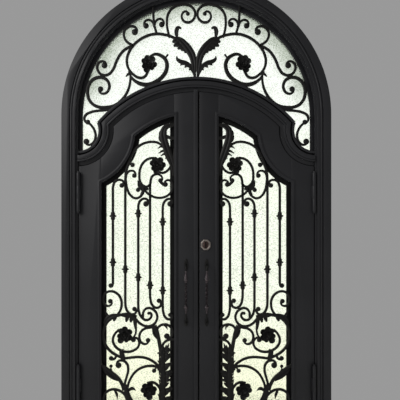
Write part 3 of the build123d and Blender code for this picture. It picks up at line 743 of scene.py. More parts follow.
COLLARS = (
    (77, 1367), (77, 1049), (162, 1001), (251, 1384), (251, 946), (332, 891), (419, 1327), (419, 855),
)
LEAF_ROSES = ((385, 1713, 20), (159, 551, -8), (325, 171, 35))
TRANSOM_ROSE = (-325, 353, 10)


def upright(forge, foot, low, high, head):
    """One upright bar, from its lower hook through its straight run to its upper hook."""
    column = high[0]
    run_in = 25
    route = foot + [low, (column, low[1] + run_in), (column, high[1] - run_in), high] + head
    forge.bar(route)


def left_leaf_bars(forge):
    """The five upright bars of a leaf, each with its hooks and their eyes."""
    upright(
        forge, [(68, 880), (76, 899)], (77, 930), (77, 1532),
        [(79, 1573), (94, 1605), (122, 1615), (148, 1603), (150, 1580)],
    )
    forge.eye((138, 1577), 15)
    forge.eye((62, 889), 15)
    upright(
        forge, [(235, 726), (235, 705), (211, 691), (183, 705), (166, 739)], (162, 780), (162, 1600), [],
    )
    forge.eye((225, 728), 15)
    upright(
        forge, [(325, 705), (341, 692), (335, 666), (306, 652), (276, 670), (256, 708)], (251, 759),
        (251, 1416), [(254, 1450), (271, 1477), (296, 1486), (317, 1473), (319, 1450)],
    )
    forge.eye((304, 1450), 18)
    forge.eye((323, 699), 10)
    upright(
        forge, [(404, 784), (405, 752), (376, 736), (347, 756), (335, 793)], (332, 841), (332, 1585), [],
    )
    forge.eye((393, 785), 15)
    upright(
        forge, [(479, 692), (484, 670), (464, 657), (438, 670), (423, 708)], (419, 759), (419, 1409),
        [(423, 1447), (438, 1473), (462, 1484), (482, 1472), (484, 1451)],
    )
    forge.eye((470, 1450), 18)
    forge.eye((469, 688), 13)


def left_leaf_scrolls(forge):
    """The scrolls around the three roses of a leaf."""
    forge.bar([
        (162, 1585), (163, 1628), (167, 1672), (179, 1707), (190, 1744), (205, 1782), (230, 1823),
        (267, 1854), (308, 1871), (352, 1876), (393, 1866), (428, 1834), (458, 1796), (477, 1754),
        (475, 1713), (453, 1680), (421, 1663), (390, 1669),
    ])
    forge.bar([(185, 1731), (198, 1725), (211, 1720)], 10)
    forge.eye((212, 1718), 15)
    forge.scroll([
        (359, 1766), (321, 1759), (287, 1734), (265, 1693), (259, 1648), (264, 1604), (284, 1577),
        (308, 1568), (330, 1581), (337, 1614), (347, 1639), (371, 1653), (398, 1649), (416, 1628),
        (412, 1605),
    ])
    forge.scroll([
        (291, 1556), (282, 1522), (259, 1496), (229, 1489), (200, 1507), (179, 1542), (168, 1590),
        (166, 1635), (178, 1666), (204, 1678), (228, 1667), (234, 1642),
    ])
    forge.scroll([(321, 1549), (291, 1560), (265, 1562), (244, 1553)], 14)
    forge.scroll([
        (291, 1556), (311, 1527), (342, 1505), (383, 1492), (428, 1496), (465, 1517), (485, 1553),
        (484, 1590), (464, 1612), (439, 1607), (426, 1585),
    ], 16)
    forge.bar([(403, 1602), (428, 1578)], 17)
    forge.scroll([
        (99, 679), (126, 715), (137, 759), (129, 804), (103, 836), (65, 850), (30, 839), (11, 807),
        (15, 772), (40, 749), (67, 761), (68, 787),
    ])
    forge.bar([
        (236, 660), (198, 679), (154, 687), (106, 681), (60, 657), (26, 616), (11, 561), (18, 503),
        (48, 451), (96, 414), (150, 390),
    ], 15)
    forge.scroll([
        (120, 588), (89, 554), (77, 514), (91, 475), (127, 446), (174, 434), (222, 445), (253, 473),
        (255, 510), (234, 531), (210, 525),
    ], 16)
    forge.bar([(136, 450), (139, 420), (148, 386)], 26)
    forge.bar([
        (233, 660), (267, 626), (308, 610), (351, 619), (378, 653), (378, 694), (351, 726), (315, 734),
        (289, 713), (283, 670),
    ])
    forge.scroll([
        (366, 605), (332, 601), (294, 592), (267, 568), (259, 530), (274, 497), (304, 488), (328, 510),
    ])
    forge.scroll([
        (375, 575), (395, 609), (428, 622), (462, 614), (484, 586), (483, 549), (462, 527), (439, 531),
    ], 18)
    forge.bar([(359, 612), (381, 568), (392, 520), (401, 465), (406, 404)], 21, 30, 14)
    forge.bar([(342, 622), (366, 598)], 21)
    forge.bar([(412, 438), (419, 479), (436, 504), (467, 518), (510, 521)])
    forge.bar([(140, 386), (205, 395), (260, 398), (311, 389), (356, 366), (404, 325)])
    forge.scroll([
        (159, 171), (160, 219), (173, 267), (182, 311), (171, 356), (139, 375), (109, 366), (101, 339),
    ], 19)
    forge.bar([(153, 171), (138, 215), (113, 254), (75, 287), (38, 316), (-10, 349)], 18)
    forge.scroll([(103, 414), (89, 388), (65, 379)])
    forge.bar([
        (176, 157), (181, 205), (200, 254), (233, 298), (277, 326), (325, 337), (373, 332), (409, 306),
        (430, 260),
    ])
    forge.bar([(376, 328), (361, 308)], 10)
    forge.eye((360, 304), 14)
    forge.bar([
        (178, 164), (202, 109), (243, 58), (298, 32), (352, 41), (395, 82), (410, 137), (394, 192),
        (354, 224), (311, 219),
    ])
    forge.scroll([
        (174, 103), (161, 137), (137, 159), (103, 174), (62, 174), (31, 155), (14, 123), (12, 79),
        (34, 38), (74, 21), (109, 36), (120, 68),
    ], 18)
    forge.bar([(159, 205), (171, 150), (188, 96), (192, -14)], 22)
    forge.eye((64, 335), 11)


def left_leaf_thorns(forge):
    """Small sheet leaves where the scrolls branch."""
    forge.leaf([(251, 1612), (262, 1572), (286, 1538)], 28, 3, 14, 18)
    forge.leaf([(272, 1556), (298, 1562), (322, 1574)], 20, 2, 18, 8)
    forge.leaf([(290, 1546), (276, 1516), (264, 1492)], 24, 2, 22, 10)
    forge.leaf([(350, 604), (368, 558), (390, 514)], 34, 3, 16, 12)
    forge.leaf([(8, 322), (42, 294), (80, 264), (112, 236)], 44, 3, 22, 14)
    forge.leaf([(68, 659), (35, 692), (17, 728)], 18, 2)
    forge.leaf([(240, 672), (202, 682), (160, 687), (116, 690)], 36, 3, 26, 14)
    forge.leaf([(112, 689), (76, 680), (40, 660), (16, 628)], 36, 3, 14, 20)
    forge.leaf([(208, 674), (202, 654), (199, 636)], 26, 3, 24, 12)
    forge.leaf([(178, 678), (173, 658), (168, 640)], 26, 3, 24, 12)
    forge.bar([(226, 664), (234, 620), (236, 582), (227, 546), (203, 522), (174, 512)], 11)
    forge.leaf([(98, 682), (89, 662), (82, 644)], 26, 2, 22, 12)
    forge.leaf([(222, 670), (230, 630), (232, 588)], 26, 3, 20, 12)
    forge.leaf([(86, 272), (66, 301), (64, 339)], 18, 2)
    forge.leaf([(84, 180), (103, 144), (109, 109)], 20, 2)
    forge.leaf([(178, 160), (209, 183), (236, 168)], 24, 3)
    forge.leaf([(410, 625), (440, 612), (452, 585)], 18, 2)


def collar():
    """The collar slid over an upright bar: a bead over and under a ring drawn out to side points."""
    beads = [
        (8.0, -28.5), (10.0, -28), (13.0, -25.5), (15.0, -20.5), (15.4, -14), (14.2, -8), (11.8, -3.5),
        (11.8, 3.5), (14.2, 8), (15.4, 14), (15.0, 20.5), (13.0, 25.5), (10.0, 28), (8.0, 28.5),
    ]
    points = [
        (2.0, -25), (4.6, -22), (7.0, -17), (9.0, -11), (10.2, -5), (10.4, 0), (10.2, 5), (9.0, 11),
        (7.0, 17), (4.6, 22), (2.0, 25),
    ]
    body = lathe(beads, 20, (0, 0, 0))
    star = lathe(points, 12, (0, 0, 0))
    star.data.transform(Matrix.Rotation(math.pi / 2, 4, "Y"))
    whole = merged([body, star])
    stretch(whole, (1, 0.72, 1), (0, 0, 0))
    smooth(whole, 50)
    return whole


def upper_leaf(forge):
    """The acanthus that rolls over at the head of the opening's inner side."""
    forge.bar([(499, 1830), (497, 1760), (497, 1690), (499, 1640)], 13, 7, 7)
    forge.leaf([
        (494, 1645), (489, 1700), (476, 1750), (459, 1795), (443, 1840), (430, 1885), (424, 1930),
        (434, 1966), (462, 1985), (502, 1992),
    ], 52, 9, 18, 18)
    forge.leaf([(488, 1690), (472, 1750), (456, 1800), (444, 1848), (436, 1900)], 44, 7, 16, 14)
    forge.bar([(504, 1898), (474, 1902), (440, 1914)], 19)
    forge.leaf([(440, 1860), (408, 1896), (404, 1950)], 34, 6)
    forge.leaf([(426, 1900), (406, 1930), (414, 1966)], 28, 5)
    forge.leaf([(446, 1838), (414, 1844), (386, 1830)], 17, 5, 17, 6)
    forge.leaf([(452, 1814), (420, 1812), (390, 1796)], 17, 5, 17, 6)
    forge.leaf([(464, 1794), (434, 1794), (406, 1778)], 19, 5, 18, 6)
    forge.leaf([(478, 1780), (456, 1776), (436, 1760)], 19, 5, 18, 6)
    forge.leaf([(470, 1720), (452, 1776), (440, 1822), (432, 1862)], 34, 6, 12, 14)


def lower_leaves(forge):
    """The column of acanthus that climbs the lower half of the opening's inner side."""
    column, foot, head, tiers = 420, -8, 452, 8

    def leaf(points, *shape):
        forge.leaf([(column + across, up) for across, up in points], *shape)

    forge.bar([(column, foot), (column + 4, (foot + head) / 2), (column, head)], 22, 26, 18)
    step = (head - foot) / tiers
    for tier in range(tiers):
        low = foot + tier * step
        swing = 6 * math.sin(tier * 1.9)
        forge.acanthus([
            (column + 2, low - 12), (column - 5, low + 14), (column - 12 + swing, low + 40),
            (column - 18 + swing, low + 74),
        ], 38, 9, 3)
        fill = 5 * math.cos(tier * 2.3)
        leaf([(6, low), (32, low + 14 + swing), (62 + fill, low + 22)], 29 + fill, 7, 22, 15)
        leaf([(4, low + 26), (26, low + 46 - swing), (50 - 2 * fill, low + 60)], 27 - fill, 6, 22, 9)
        if tier % 2:
            leaf([(-2, low + 12), (-20, low + 34), (-38, low + 32)], 17, 5, 16, 8)
            leaf([(24, low - 10), (44, low + 10), (48, low + 34)], 20, 5, 14, 10)
        leaf([(4, low + 4), (-2, low + 44), (4, low + 84)], 28, 12, 12)
    forge.acanthus([(column, head - 26), (column + 2, head + 8), (column - 2, head + 48)], 32, 8, 2)
    tip = [(column + 8, head - 16), (column + 30, head + 12), (column + 44, head + 46)]
    forge.acanthus(tip, 34, 8, 2)


def transom_bars(forge):
    """The left half of the transom's scrolls."""
    forge.bar([
        (-10, 252), (-12, 312), (-24, 373), (-55, 438), (-103, 497), (-157, 538), (-219, 558),
        (-280, 563), (-342, 548), (-397, 517), (-441, 473), (-469, 421), (-477, 370), (-462, 319),
        (-428, 281), (-390, 262), (-356, 269), (-332, 305),
    ], 15)
    forge.bar([
        (-464, 308), (-448, 269), (-417, 238), (-376, 219), (-328, 216), (-274, 237), (-229, 274),
        (-204, 322), (-207, 377), (-239, 412), (-284, 424), (-318, 408),
    ], 22, 10, 12)
    forge.scroll([
        (-453, 295), (-454, 237), (-470, 175), (-506, 117), (-557, 75), (-622, 59), (-681, 65),
        (-725, 96), (-746, 148), (-741, 204), (-713, 247), (-670, 265), (-625, 255), (-600, 223),
        (-601, 183), (-628, 155), (-661, 161), (-671, 187),
    ], 18, 18, 12)
    forge.scroll([
        (-432, 486), (-490, 456), (-526, 416), (-549, 373), (-569, 324), (-603, 286), (-644, 282),
        (-674, 308), (-679, 346), (-657, 373), (-627, 370), (-616, 346),
    ], 19, 15)
    forge.scroll([
        (-434, 484), (-476, 509), (-495, 541), (-495, 579), (-472, 607), (-438, 616), (-410, 599),
        (-408, 570),
    ], 20)
    forge.bar([(-270, 558), (-285, 609), (-293, 661), (-296, 720), (-298, 790)], 14, 14, 9)
    forge.scroll([(-289, 610), (-302, 645), (-328, 660), (-355, 645), (-358, 614)], 18, 12)
    forge.scroll([(-290, 618), (-272, 657), (-246, 666), (-224, 647), (-226, 621)], 18, 12)
    forge.scroll([
        (-183, 538), (-198, 596), (-202, 650), (-192, 703), (-159, 743), (-116, 762), (-68, 764),
        (-26, 743), (-8, 702), (-24, 658), (-62, 642), (-94, 661), (-98, 698), (-75, 718), (-51, 705),
    ], 13)
    forge.scroll([
        (-554, 64), (-616, 42), (-675, 36), (-728, 25), (-763, 2), (-767, -29), (-752, -51),
    ], 16)
    forge.scroll([
        (-749, -40), (-718, -68), (-698, -102), (-692, -143), (-708, -183), (-740, -198), (-767, -183),
    ], 19)


def transom_foliage(forge):
    """The left one of the pair of acanthus leaves at the foot of the main arcs."""
    forge.leaf([
        (-12, 262), (-15, 340), (-26, 405), (-50, 450), (-82, 490), (-118, 522), (-154, 534),
    ], 54, 8, 14, 14)
    forge.leaf([(-100, 514), (-136, 515), (-165, 503)], 50, 6, 40, 14)
    forge.leaf([(-86, 496), (-126, 491), (-156, 476)], 50, 7, 40, 14)
    forge.leaf([(-68, 478), (-102, 472), (-129, 457)], 48, 7, 38, 13)
    forge.leaf([(-52, 458), (-84, 458), (-107, 449)], 44, 6, 34, 13)
    forge.leaf([(-40, 438), (-64, 442), (-83, 434)], 38, 5, 28, 12)
    forge.leaf([(-30, 414), (-48, 424), (-64, 424)], 26, 4, 20, 4)
    forge.leaf([(-132, 530), (-136, 560), (-135, 586), (-123, 603), (-102, 598)], 30, 4, 14, 12)
    forge.leaf([
        (-12, 266), (-22, 305), (-44, 340), (-78, 362), (-112, 373), (-130, 388), (-134, 410),
    ], 32, 5, 12, 6)
    forge.leaf([(-74, 362), (-96, 358), (-111, 343)], 28, 4, 22)
    forge.leaf([(-52, 348), (-68, 342), (-80, 327)], 26, 4, 20)
    forge.leaf([(-32, 322), (-42, 320), (-49, 309)], 20, 3, 14)
    forge.bar([(-222, 384), (-207, 404), (-194, 422)], 10)
    forge.leaf([(-456, 300), (-470, 282), (-484, 268)], 17, 3, 14, 8)


# Roses
def petal(radius, tilt):
    """One cupped petal of sheet iron, lying with its root at the origin and its rim towards +Y."""
    size = radius * MM
    cup = bead(size, (0, 0, 0), 16, 12)
    edit_all(cup)
    bpy.ops.mesh.bisect(plane_co=(0, 0, -size * 0.35), plane_no=(0, 0, 1), clear_outer=True)
    bpy.ops.mesh.select_all(action="SELECT")
    bpy.ops.transform.resize(value=(1, 1, 0.55), center_override=(0, 0, 0), orient_type="GLOBAL")
    bpy.ops.transform.translate(value=(0, size * 0.75, size * 0.45), orient_type="GLOBAL")
    bpy.ops.object.mode_set(mode="OBJECT")
    cup.data.transform(Matrix.Rotation(math.radians(tilt), 4, "X"))
    wall = cup.modifiers.new("Sheet", "SOLIDIFY")
    wall.thickness = 2.0 * MM
    wall.offset = 0.0
    rim = cup.modifiers.new("Rim", "SUBSURF")
    rim.levels = 1
    rim.render_levels = 1
    finish_modifiers(cup)
    return cup


def rose():
    """A rose of three tiers of petals around a bud, facing +Z, with its back at height zero."""
    outer = bpy.context.scene.door_sizes.rose_radius / MM
    tiers = (
        (7, outer * 0.42, 10, outer * 0.42, 0.0, 0),
        (5, outer * 0.33, 24, outer * 0.24, 3.5, 20),
        (4, outer * 0.24, 40, outer * 0.1, 6.5, 5),
    )
    made = []
    for count, size, tilt, reach, rise, turn in tiers:
        first = petal(size, tilt)
        first.data.transform(Matrix.Translation((0, reach * MM, rise * MM)))
        for i in range(count):
            copy = own_copy(first)
            angle = math.radians(turn + 360 * i / count + 7 * math.sin(3.1 * i + count))
            copy.data.transform(Matrix.Scale(1 + 0.13 * math.sin(2.4 * i + count), 4))
            copy.data.transform(Matrix.Rotation(angle, 4, "Z"))
            made.append(copy)
        bpy.data.objects.remove(first)
    made.append(bead(outer * 0.17 * MM, (0, 0, 9 * MM), 16, 10))
    put_down()
    width = outer * 0.62 * MM
    bpy.ops.mesh.primitive_cylinder_add(vertices=28, radius=width, depth=4 * MM, location=(0, 0, 2 * MM))
    disc = bpy.context.object
    round_edges(disc, 1.5 * MM, 2)
    made.append(disc)
    whole = merged(made)
    bpy.ops.object.transform_apply(location=True, rotation=True, scale=True)
    smooth(whole, 60)
    return whole


def rose_at(pattern, x, z, turn, depth):
    """A copy of a rose, turned to face the viewer."""
    copy = own_copy(pattern)
    copy.data.transform(Matrix.Rotation(math.radians(turn), 4, "Z"))
    copy.data.transform(Matrix.Rotation(math.pi / 2, 4, "X"))
    copy.data.transform(Matrix.Translation((x * MM, depth, z * MM)))
    return copy


# Pulls, in millimetres: the twist, and how far it reaches over and under the pull's middle
TWIST_RADIUS = 6.4
TWIST_TURNS = 1.8
TWIST_DEPTH = 15
GRIP_HEAD = 75
GRIP_FOOT = 82

# Each end of a pull: its side, where its collar starts, and the lengths of its collar and foot plate
PULL_ENDS = ((1, GRIP_HEAD, 75, 82), (-1, GRIP_FOOT, 51, 61))

# A pull's collar: its radius against its length
PULL_COLLAR = (
    (7.0, -0.03), (10.2, 0.0), (10.6, 0.04), (8.2, 0.07), (13.0, 0.11), (14.6, 0.18), (14.2, 0.27),
    (11.8, 0.42), (9.2, 0.6), (7.2, 0.78), (6.4, 0.9), (7.0, 0.95), (6.0, 1.0),
)


def rope(x, y, low, high, radius, turns):
    """A bar of three strands, twisted about an upright line."""
    outline = []
    for angle in [2 * math.pi * i / 18 for i in range(18)]:
        reach = 1 + 0.36 * math.cos(3 * angle)
        outline.append((math.cos(angle) * reach, math.sin(angle) * reach))
    thing = blank_curve(cross_section("rope_section", outline))
    count = 64
    spline = thing.data.splines.new("POLY")
    spline.points.add(count)
    for i, point in enumerate(spline.points):
        share = i / count
        point.co = (x, y, low + (high - low) * share, 1)
        point.tilt = 2 * math.pi * turns * share
        point.radius = radius * (0.82 + 0.25 * math.sin(math.pi * share) ** 2)
    return drawn(thing)


def neck(x, face, reach, z_foot, z_collar):
    """The bar's end, bent back from the grip to its foot plate."""
    angles = [2 * math.pi * i / 12 for i in range(12)]
    thing = blank_curve(cross_section("neck_section", [(math.cos(a), math.sin(a)) for a in angles]))
    thing.data.resolution_u = 8
    add_run(thing.data, [
        (x, face, z_foot, 7.5),
        (x, face - reach * 0.45, z_foot, 6.4),
        (x, face - reach * 0.9, z_foot + (z_collar - z_foot) * 0.35, 6.0),
        (x, face - reach, z_collar, 6.2),
    ])
    return drawn(thing)


def foot_plate(x, face, z, half_height):
    """A bevelled oval plate with a screw over and under the bar."""
    centre = (x, face - 3 * MM, z)
    put_down()
    bpy.ops.mesh.primitive_cylinder_add(vertices=36, radius=1.0, depth=1.0, location=centre)
    plate = bpy.context.object
    edit_all(plate)
    bpy.ops.transform.rotate(value=math.pi / 2, orient_axis="X", center_override=centre)
    stretch(plate, (13 * MM, 6 * MM, half_height * MM), centre)
    round_edges(plate, 2 * MM, 3)
    made = [plate]
    for side in (-1, 1):
        height = z + side * half_height * 0.66 * MM
        made.append(bead(3.6 * MM, (x, face - 6 * MM, height), 14, 8))
        stretch(made[-1], (1, 0.5, 1))
    return merged(made)


def length(name, description, default):
    return bpy.props.FloatProperty(name=name, description=description, default=default, unit="LENGTH")


def color(name, description, *default):
    return bpy.props.FloatVectorProperty(
        name=name,
        description=description,
        default=default,
        size=len(default),
        subtype="COLOR",
        min=0,
        max=1,
    )


class DOOR_PG_sizes(bpy.types.PropertyGroup):
    """Sizes that a user may change."""

    edge_radius: length("Edge radius", "Rounding of the steel's edges", 1.2 * MM)
    iron_width: length("Iron width", "Width of the forged bars", 17 * MM)
    tip_width: length("Tip width", "Width that a scroll is drawn down to", 12.5 * MM)
    lip_width: length("Lip width", "Width of the lip over the transom bar", 20 * MM)
    eye_radius: length("Eye radius", "Radius of a scroll's eye", 16.5 * MM)
    eye_flatness: bpy.props.FloatProperty(
        name="Eye flatness",
        description="Depth of an eye against its width",
        default=0.5,
        subtype="FACTOR",
    )
    rose_radius: length("Rose radius", "Radius of a rose over its petals", 52 * MM)
    camera_distance: length("Camera distance", "From the lens to the leaves", 3.15)
    camera_height: length("Camera height", "Height of the lens", 1.55)
    camera_across: length("Camera across", "Place of the lens to the right of the middle", 0.025)
    view_width: length("View width", "Width that the picture covers at the leaves", 2.735)
    view_middle: length("View middle", "Height at the picture's middle", 1.70)


class DOOR_PG_colours(bpy.types.PropertyGroup):
    """Colours that a user may change."""

    steel: color("Steel", "Powder coat", 0.0163, 0.0166, 0.0194)
    iron: color("Ironwork", "Painted forged iron", 0.008, 0.0078, 0.007)
    handle: color("Pulls", "Oil-rubbed bronze", 0.1, 0.085, 0.09)
    lock: color("Lock", "Dull bronze", 0.42, 0.37, 0.335)
    core: color("Lock core", "Brown bronze", 0.085, 0.055, 0.05)
    glass_low: color("Glass, low", "Tint at the foot", 0.98, 1.0, 0.74, 1)
    glass_middle: color("Glass, middle", "Tint at mid height", 0.95, 1.0, 0.86, 1)
    glass_high: color("Glass, high", "Tint at the head", 0.96, 1.0, 0.94, 1)
    floor: color("Floor", "Pale studio floor", 0.62, 0.62, 0.61)
    backdrop: color("Backdrop", "Plain grey behind the door", 0.32, 0.32, 0.32)


class DOOR_OT_camera(bpy.types.Operator):
    """Looks straight at the door from the photograph's place"""

    bl_idname = "door.camera"
    bl_label = "Camera"

    def execute(self, context):
        sizes = context.scene.door_sizes
        lens = bpy.data.cameras.new("Camera")
        lens.sensor_width = SENSOR_WIDTH
        lens.lens = SENSOR_WIDTH * sizes.camera_distance / sizes.view_width
        lens.shift_y = (sizes.view_middle - sizes.camera_height) / sizes.view_width
        camera = bpy.data.objects.new("Camera", lens)
        camera.location = (sizes.camera_across, leaf_face - sizes.camera_distance, sizes.camera_height)
        camera.rotation_euler = (math.pi / 2, 0, 0)
        context.collection.objects.link(camera)
        context.scene.camera = camera
        return {"FINISHED"}


class DOOR_OT_stage(bpy.types.Operator):
    """Lays the floor and sets the lamps and the plain background"""

    bl_idname = "door.stage"
    bl_label = "Stage and lamps"

    def lamp(self, name, place, height, size, power, tint=(1, 1, 1)):
        """A soft lamp, aimed at a height over the sill's middle."""
        light = bpy.data.lights.new(name, "AREA")
        light.shape = "RECTANGLE"
        light.size, light.size_y = size
        light.energy = power
        light.color = tint
        thing = bpy.data.objects.new(name, light)
        thing.location = place
        aim = Vector((0, 0, height)) - Vector(place)
        thing.rotation_euler = aim.to_track_quat("-Z", "Y").to_euler()
        thing.visible_transmission = False
        bpy.context.collection.objects.link(thing)

    def execute(self, context):
        put_down()
        bpy.ops.mesh.primitive_plane_add(size=1, location=(0, -3.125, 0))
        floor = context.object
        floor.scale = (14, 7.75, 1)
        bpy.ops.object.transform_apply(location=True, rotation=True, scale=True)
        floor.name = "floor"
        floor.data.materials.append(material("Pale studio floor", studio_floor))
        self.lamp("key", (-4.2, -2.8, 4.0), 1.8, (2.4, 3.0), 116, (1.0, 0.99, 0.98))
        self.lamp("fill", (3.4, -4.0, 2.2), 1.4, (2.5, 3.0), 3, (0.97, 0.98, 1.0))
        self.lamp("behind", (0.4, 3.6, 3.2), 1.6, (3.0, 3.0), 45)
        world = bpy.data.worlds.new("Studio")
        context.scene.world = world
        world.use_nodes = True
        tree = world.node_tree
        tree.nodes.clear()
        out = tree.nodes.new("ShaderNodeOutputWorld")
        path = tree.nodes.new("ShaderNodeLightPath")
        colours = context.scene.door_colours

        def sky(color, strength):
            node = tree.nodes.new("ShaderNodeBackground")
            node.inputs["Color"].default_value = (*color, 1)
            node.inputs["Strength"].default_value = strength
            return node.outputs[0]

        def switch(ray, off, on):
            node = tree.nodes.new("ShaderNodeMixShader")
            tree.links.new(path.outputs[ray], node.inputs[0])
            tree.links.new(off, node.inputs[1])
            tree.links.new(on, node.inputs[2])
            return node.outputs[0]

        light = switch("Is Glossy Ray", sky((1, 1, 1), 0.45), sky((1, 1, 1), 0.18))
        light = switch("Is Transmission Ray", light, sky((1, 1, 1), 1.28))
        light = switch("Is Camera Ray", light, sky(colours.backdrop, 1.0))
        tree.links.new(light, out.inputs[0])
        context.scene.view_settings.view_transform = "Standard"
        return {"FINISHED"}


class DOOR_OT_steelwork(bpy.types.Operator):
    """Breaks the edges of the steel frame and leaves and gives them their powder coat, with near-black
    painted shade on the leaves' glass sashes
    """

    bl_idname = "door.steelwork"
    bl_label = "Steelwork"

    def execute(self, context):
        radius = context.scene.door_sizes.edge_radius
        whole = softened(welded_frame(), radius)
        settle(whole, "coated_door_frame", "frame", coat(), "painted_steel", *FRAME_RUN)
        for node, body in SASHES.items():
            sash = softened(copied(node), radius)
            # The leaves' glass sashes take near-black painted shade of their recess; the transom's sash
            # keeps the steel's coat.
            finish = coat() if body == "frame" else material("Glazing bead in painted shade", glazing_bead_in_shade)
            settle(sash, f"beaded_{node}", body, finish, "painted_steel", node)
        for body, nodes in STEEL_NODES.items():
            side = body.split("_")[0]
            extra = [f"{side}_{name}" for name in LEAF_STEEL] if side in SIDES else []
            for node in nodes + extra:
                copy = softened(copied(node), radius)
                settle(copy, f"coated_{node}", body, coat(), "painted_steel", node)
        return {"FINISHED"}


class DOOR_OT_seal(bpy.types.Operator):
    """Closes the gap between the leaves with a rubber seal"""

    bl_idname = "door.seal"
    bl_label = "Meeting seal"

    def execute(self, context):
        low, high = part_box("left_meeting_stile")
        height = (high.z - low.z) / MM - 4
        half = SEAL_HALF
        place = (high.x + half * MM, leaf_face + SEAL_DEPTH * MM, low.z + 2 * MM)
        seal = lathe([(half - 1, 0), (half, 1.5), (half, height - 1.5), (half - 1, height)], 20, place)
        stretch(seal, (1, SEAL_STRETCH, 1), place)
        smooth(seal, 40)
        settle(seal, "meeting_seal", "left_leaf", material("Black rubber and keyway shade", rubber), "painted_steel")
        return {"FINISHED"}


class DOOR_OT_lip(bpy.types.Operator):
    """Lays the narrow steel lip over the transom bar, at the foot of its glass"""

    bl_idname = "door.transom_lip"
    bl_label = "Transom lip"

    def execute(self, context):
        width = context.scene.door_sizes.lip_width / MM
        depth = leaf_face + LIP_DEPTH * MM
        crown, left = bar_edge(LIP_GAP + width / 2)
        forge = Forge(list)
        forge.scale = 1.0
        for line in (crown, left, [(-x, z) for x, z in left]):
            forge.bar(line, width)
        lip = forge.make(depth)
        stretch(lip, (1, 1.5, 1), (0, depth, 0))
        settle(lip, "transom_lip", "frame", coat(), "painted_steel")
        return {"FINISHED"}


class DOOR_OT_glass(bpy.types.Operator):
    """Gives the three lights their textured glass"""

    bl_idname = "door.glass"
    bl_label = "Glass"

    def execute(self, context):
        for node in ("left_door_glass", "right_door_glass", "transom_glass"):
            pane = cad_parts[node]
            pane.data.materials.clear()
            pane.data.materials.append(material("Textured privacy glass", rain_glass))
        return {"FINISHED"}


class DOOR_OT_leaf_scrollwork(bpy.types.Operator):
    """Forges the bars and scrolls of both leaves"""

    bl_idname = "door.leaf_scrollwork"
    bl_label = "Leaf scrollwork"

    def execute(self, context):
        forge = Forge(on_leaf)
        left_leaf_bars(forge)
        left_leaf_scrolls(forge)
        left_leaf_thorns(forge)
        pattern = collar()
        collars = []
        for x, z in on_leaf(COLLARS):
            collars.append(own_copy(pattern))
            collars[-1].data.transform(Matrix.Translation((x * MM, iron_middle, z * MM)))
        bpy.data.objects.remove(pattern)
        left = merged([forge.make(iron_middle), *collars])
        right = twin(left)
        for side, thing in zip(SIDES, (left, right)):
            settle(thing, f"{side}_scrollwork", f"{side}_leaf", iron(), "ironwork", f"{side}_grille")
        return {"FINISHED"}


class DOOR_OT_roses(bpy.types.Operator):
    """Shapes the roses of the leaves and the transom"""

    bl_idname = "door.roses"
    bl_label = "Roses"

    def execute(self, context):
        pattern = rose()
        left = []
        for across, up, turn in LEAF_ROSES:
            left.append(rose_at(pattern, *on_leaf([(across, up)])[0], turn, iron_front))
        left = merged(left)
        right = twin(left)
        for side, thing in zip(SIDES, (left, right)):
            settle(thing, f"{side}_roses", f"{side}_leaf", iron(), "ironwork", f"{side}_grille_roses")
        across, up, turn = TRANSOM_ROSE
        one = rose_at(pattern, *on_transom([(across, up)])[0], turn, iron_front)
        pair = merged([one, twin(one)])
        settle(pair, "transom_rose_pair", "frame", iron(), "ironwork", "transom_roses")
        bpy.data.objects.remove(pattern)
        return {"FINISHED"}


class DOOR_OT_acanthus(bpy.types.Operator):
    """Shapes the acanthus leaves of both door leaves"""

    bl_idname = "door.acanthus"
    bl_label = "Leaf acanthus"

    def execute(self, context):
        for draw, name in ((upper_leaf, "upper_acanthus"), (lower_leaves, "lower_acanthus")):
            forge = Forge(on_leaf)
            draw(forge)
            left = forge.make(iron_middle - 4 * MM)
            right = twin(left)
            for side, thing in zip(SIDES, (left, right)):
                node = f"{side}_{name}"
                settle(thing, f"{side}_forged_{name}", f"{side}_leaf", iron(), "ironwork", node)
        return {"FINISHED"}


class DOOR_OT_transom_scrollwork(bpy.types.Operator):
    """Forges the scrolls and leaves over the doors"""

    bl_idname = "door.transom_scrollwork"
    bl_label = "Transom scrollwork"

    def execute(self, context):
        forge = Forge(on_transom)
        transom_bars(forge)
        left = forge.make(iron_middle)
        right = twin(left)
        for side, thing in zip(SIDES, (left, right)):
            node = f"transom_scrolls_{side}"
            settle(thing, f"transom_{side}_scrollwork", "frame", iron(), "ironwork", node)
        forge = Forge(on_transom)
        transom_foliage(forge)
        one = forge.make(iron_middle - 5 * MM)
        pair = merged([one, twin(one)])
        settle(pair, "transom_foliage", "frame", iron(), "ironwork", "transom_acanthus")
        return {"FINISHED"}


class DOOR_OT_hinges(bpy.types.Operator):
    """Rounds the hinge barrels and gives them the steel's coat"""

    bl_idname = "door.hinges"
    bl_label = "Hinges"

    def execute(self, context):
        for node, body in HINGE_NODES.items():
            copy = softened(copied(node), 1.5 * MM, 3)
            settle(copy, f"coated_{node}", body, coat(), "painted_steel", node)
        return {"FINISHED"}


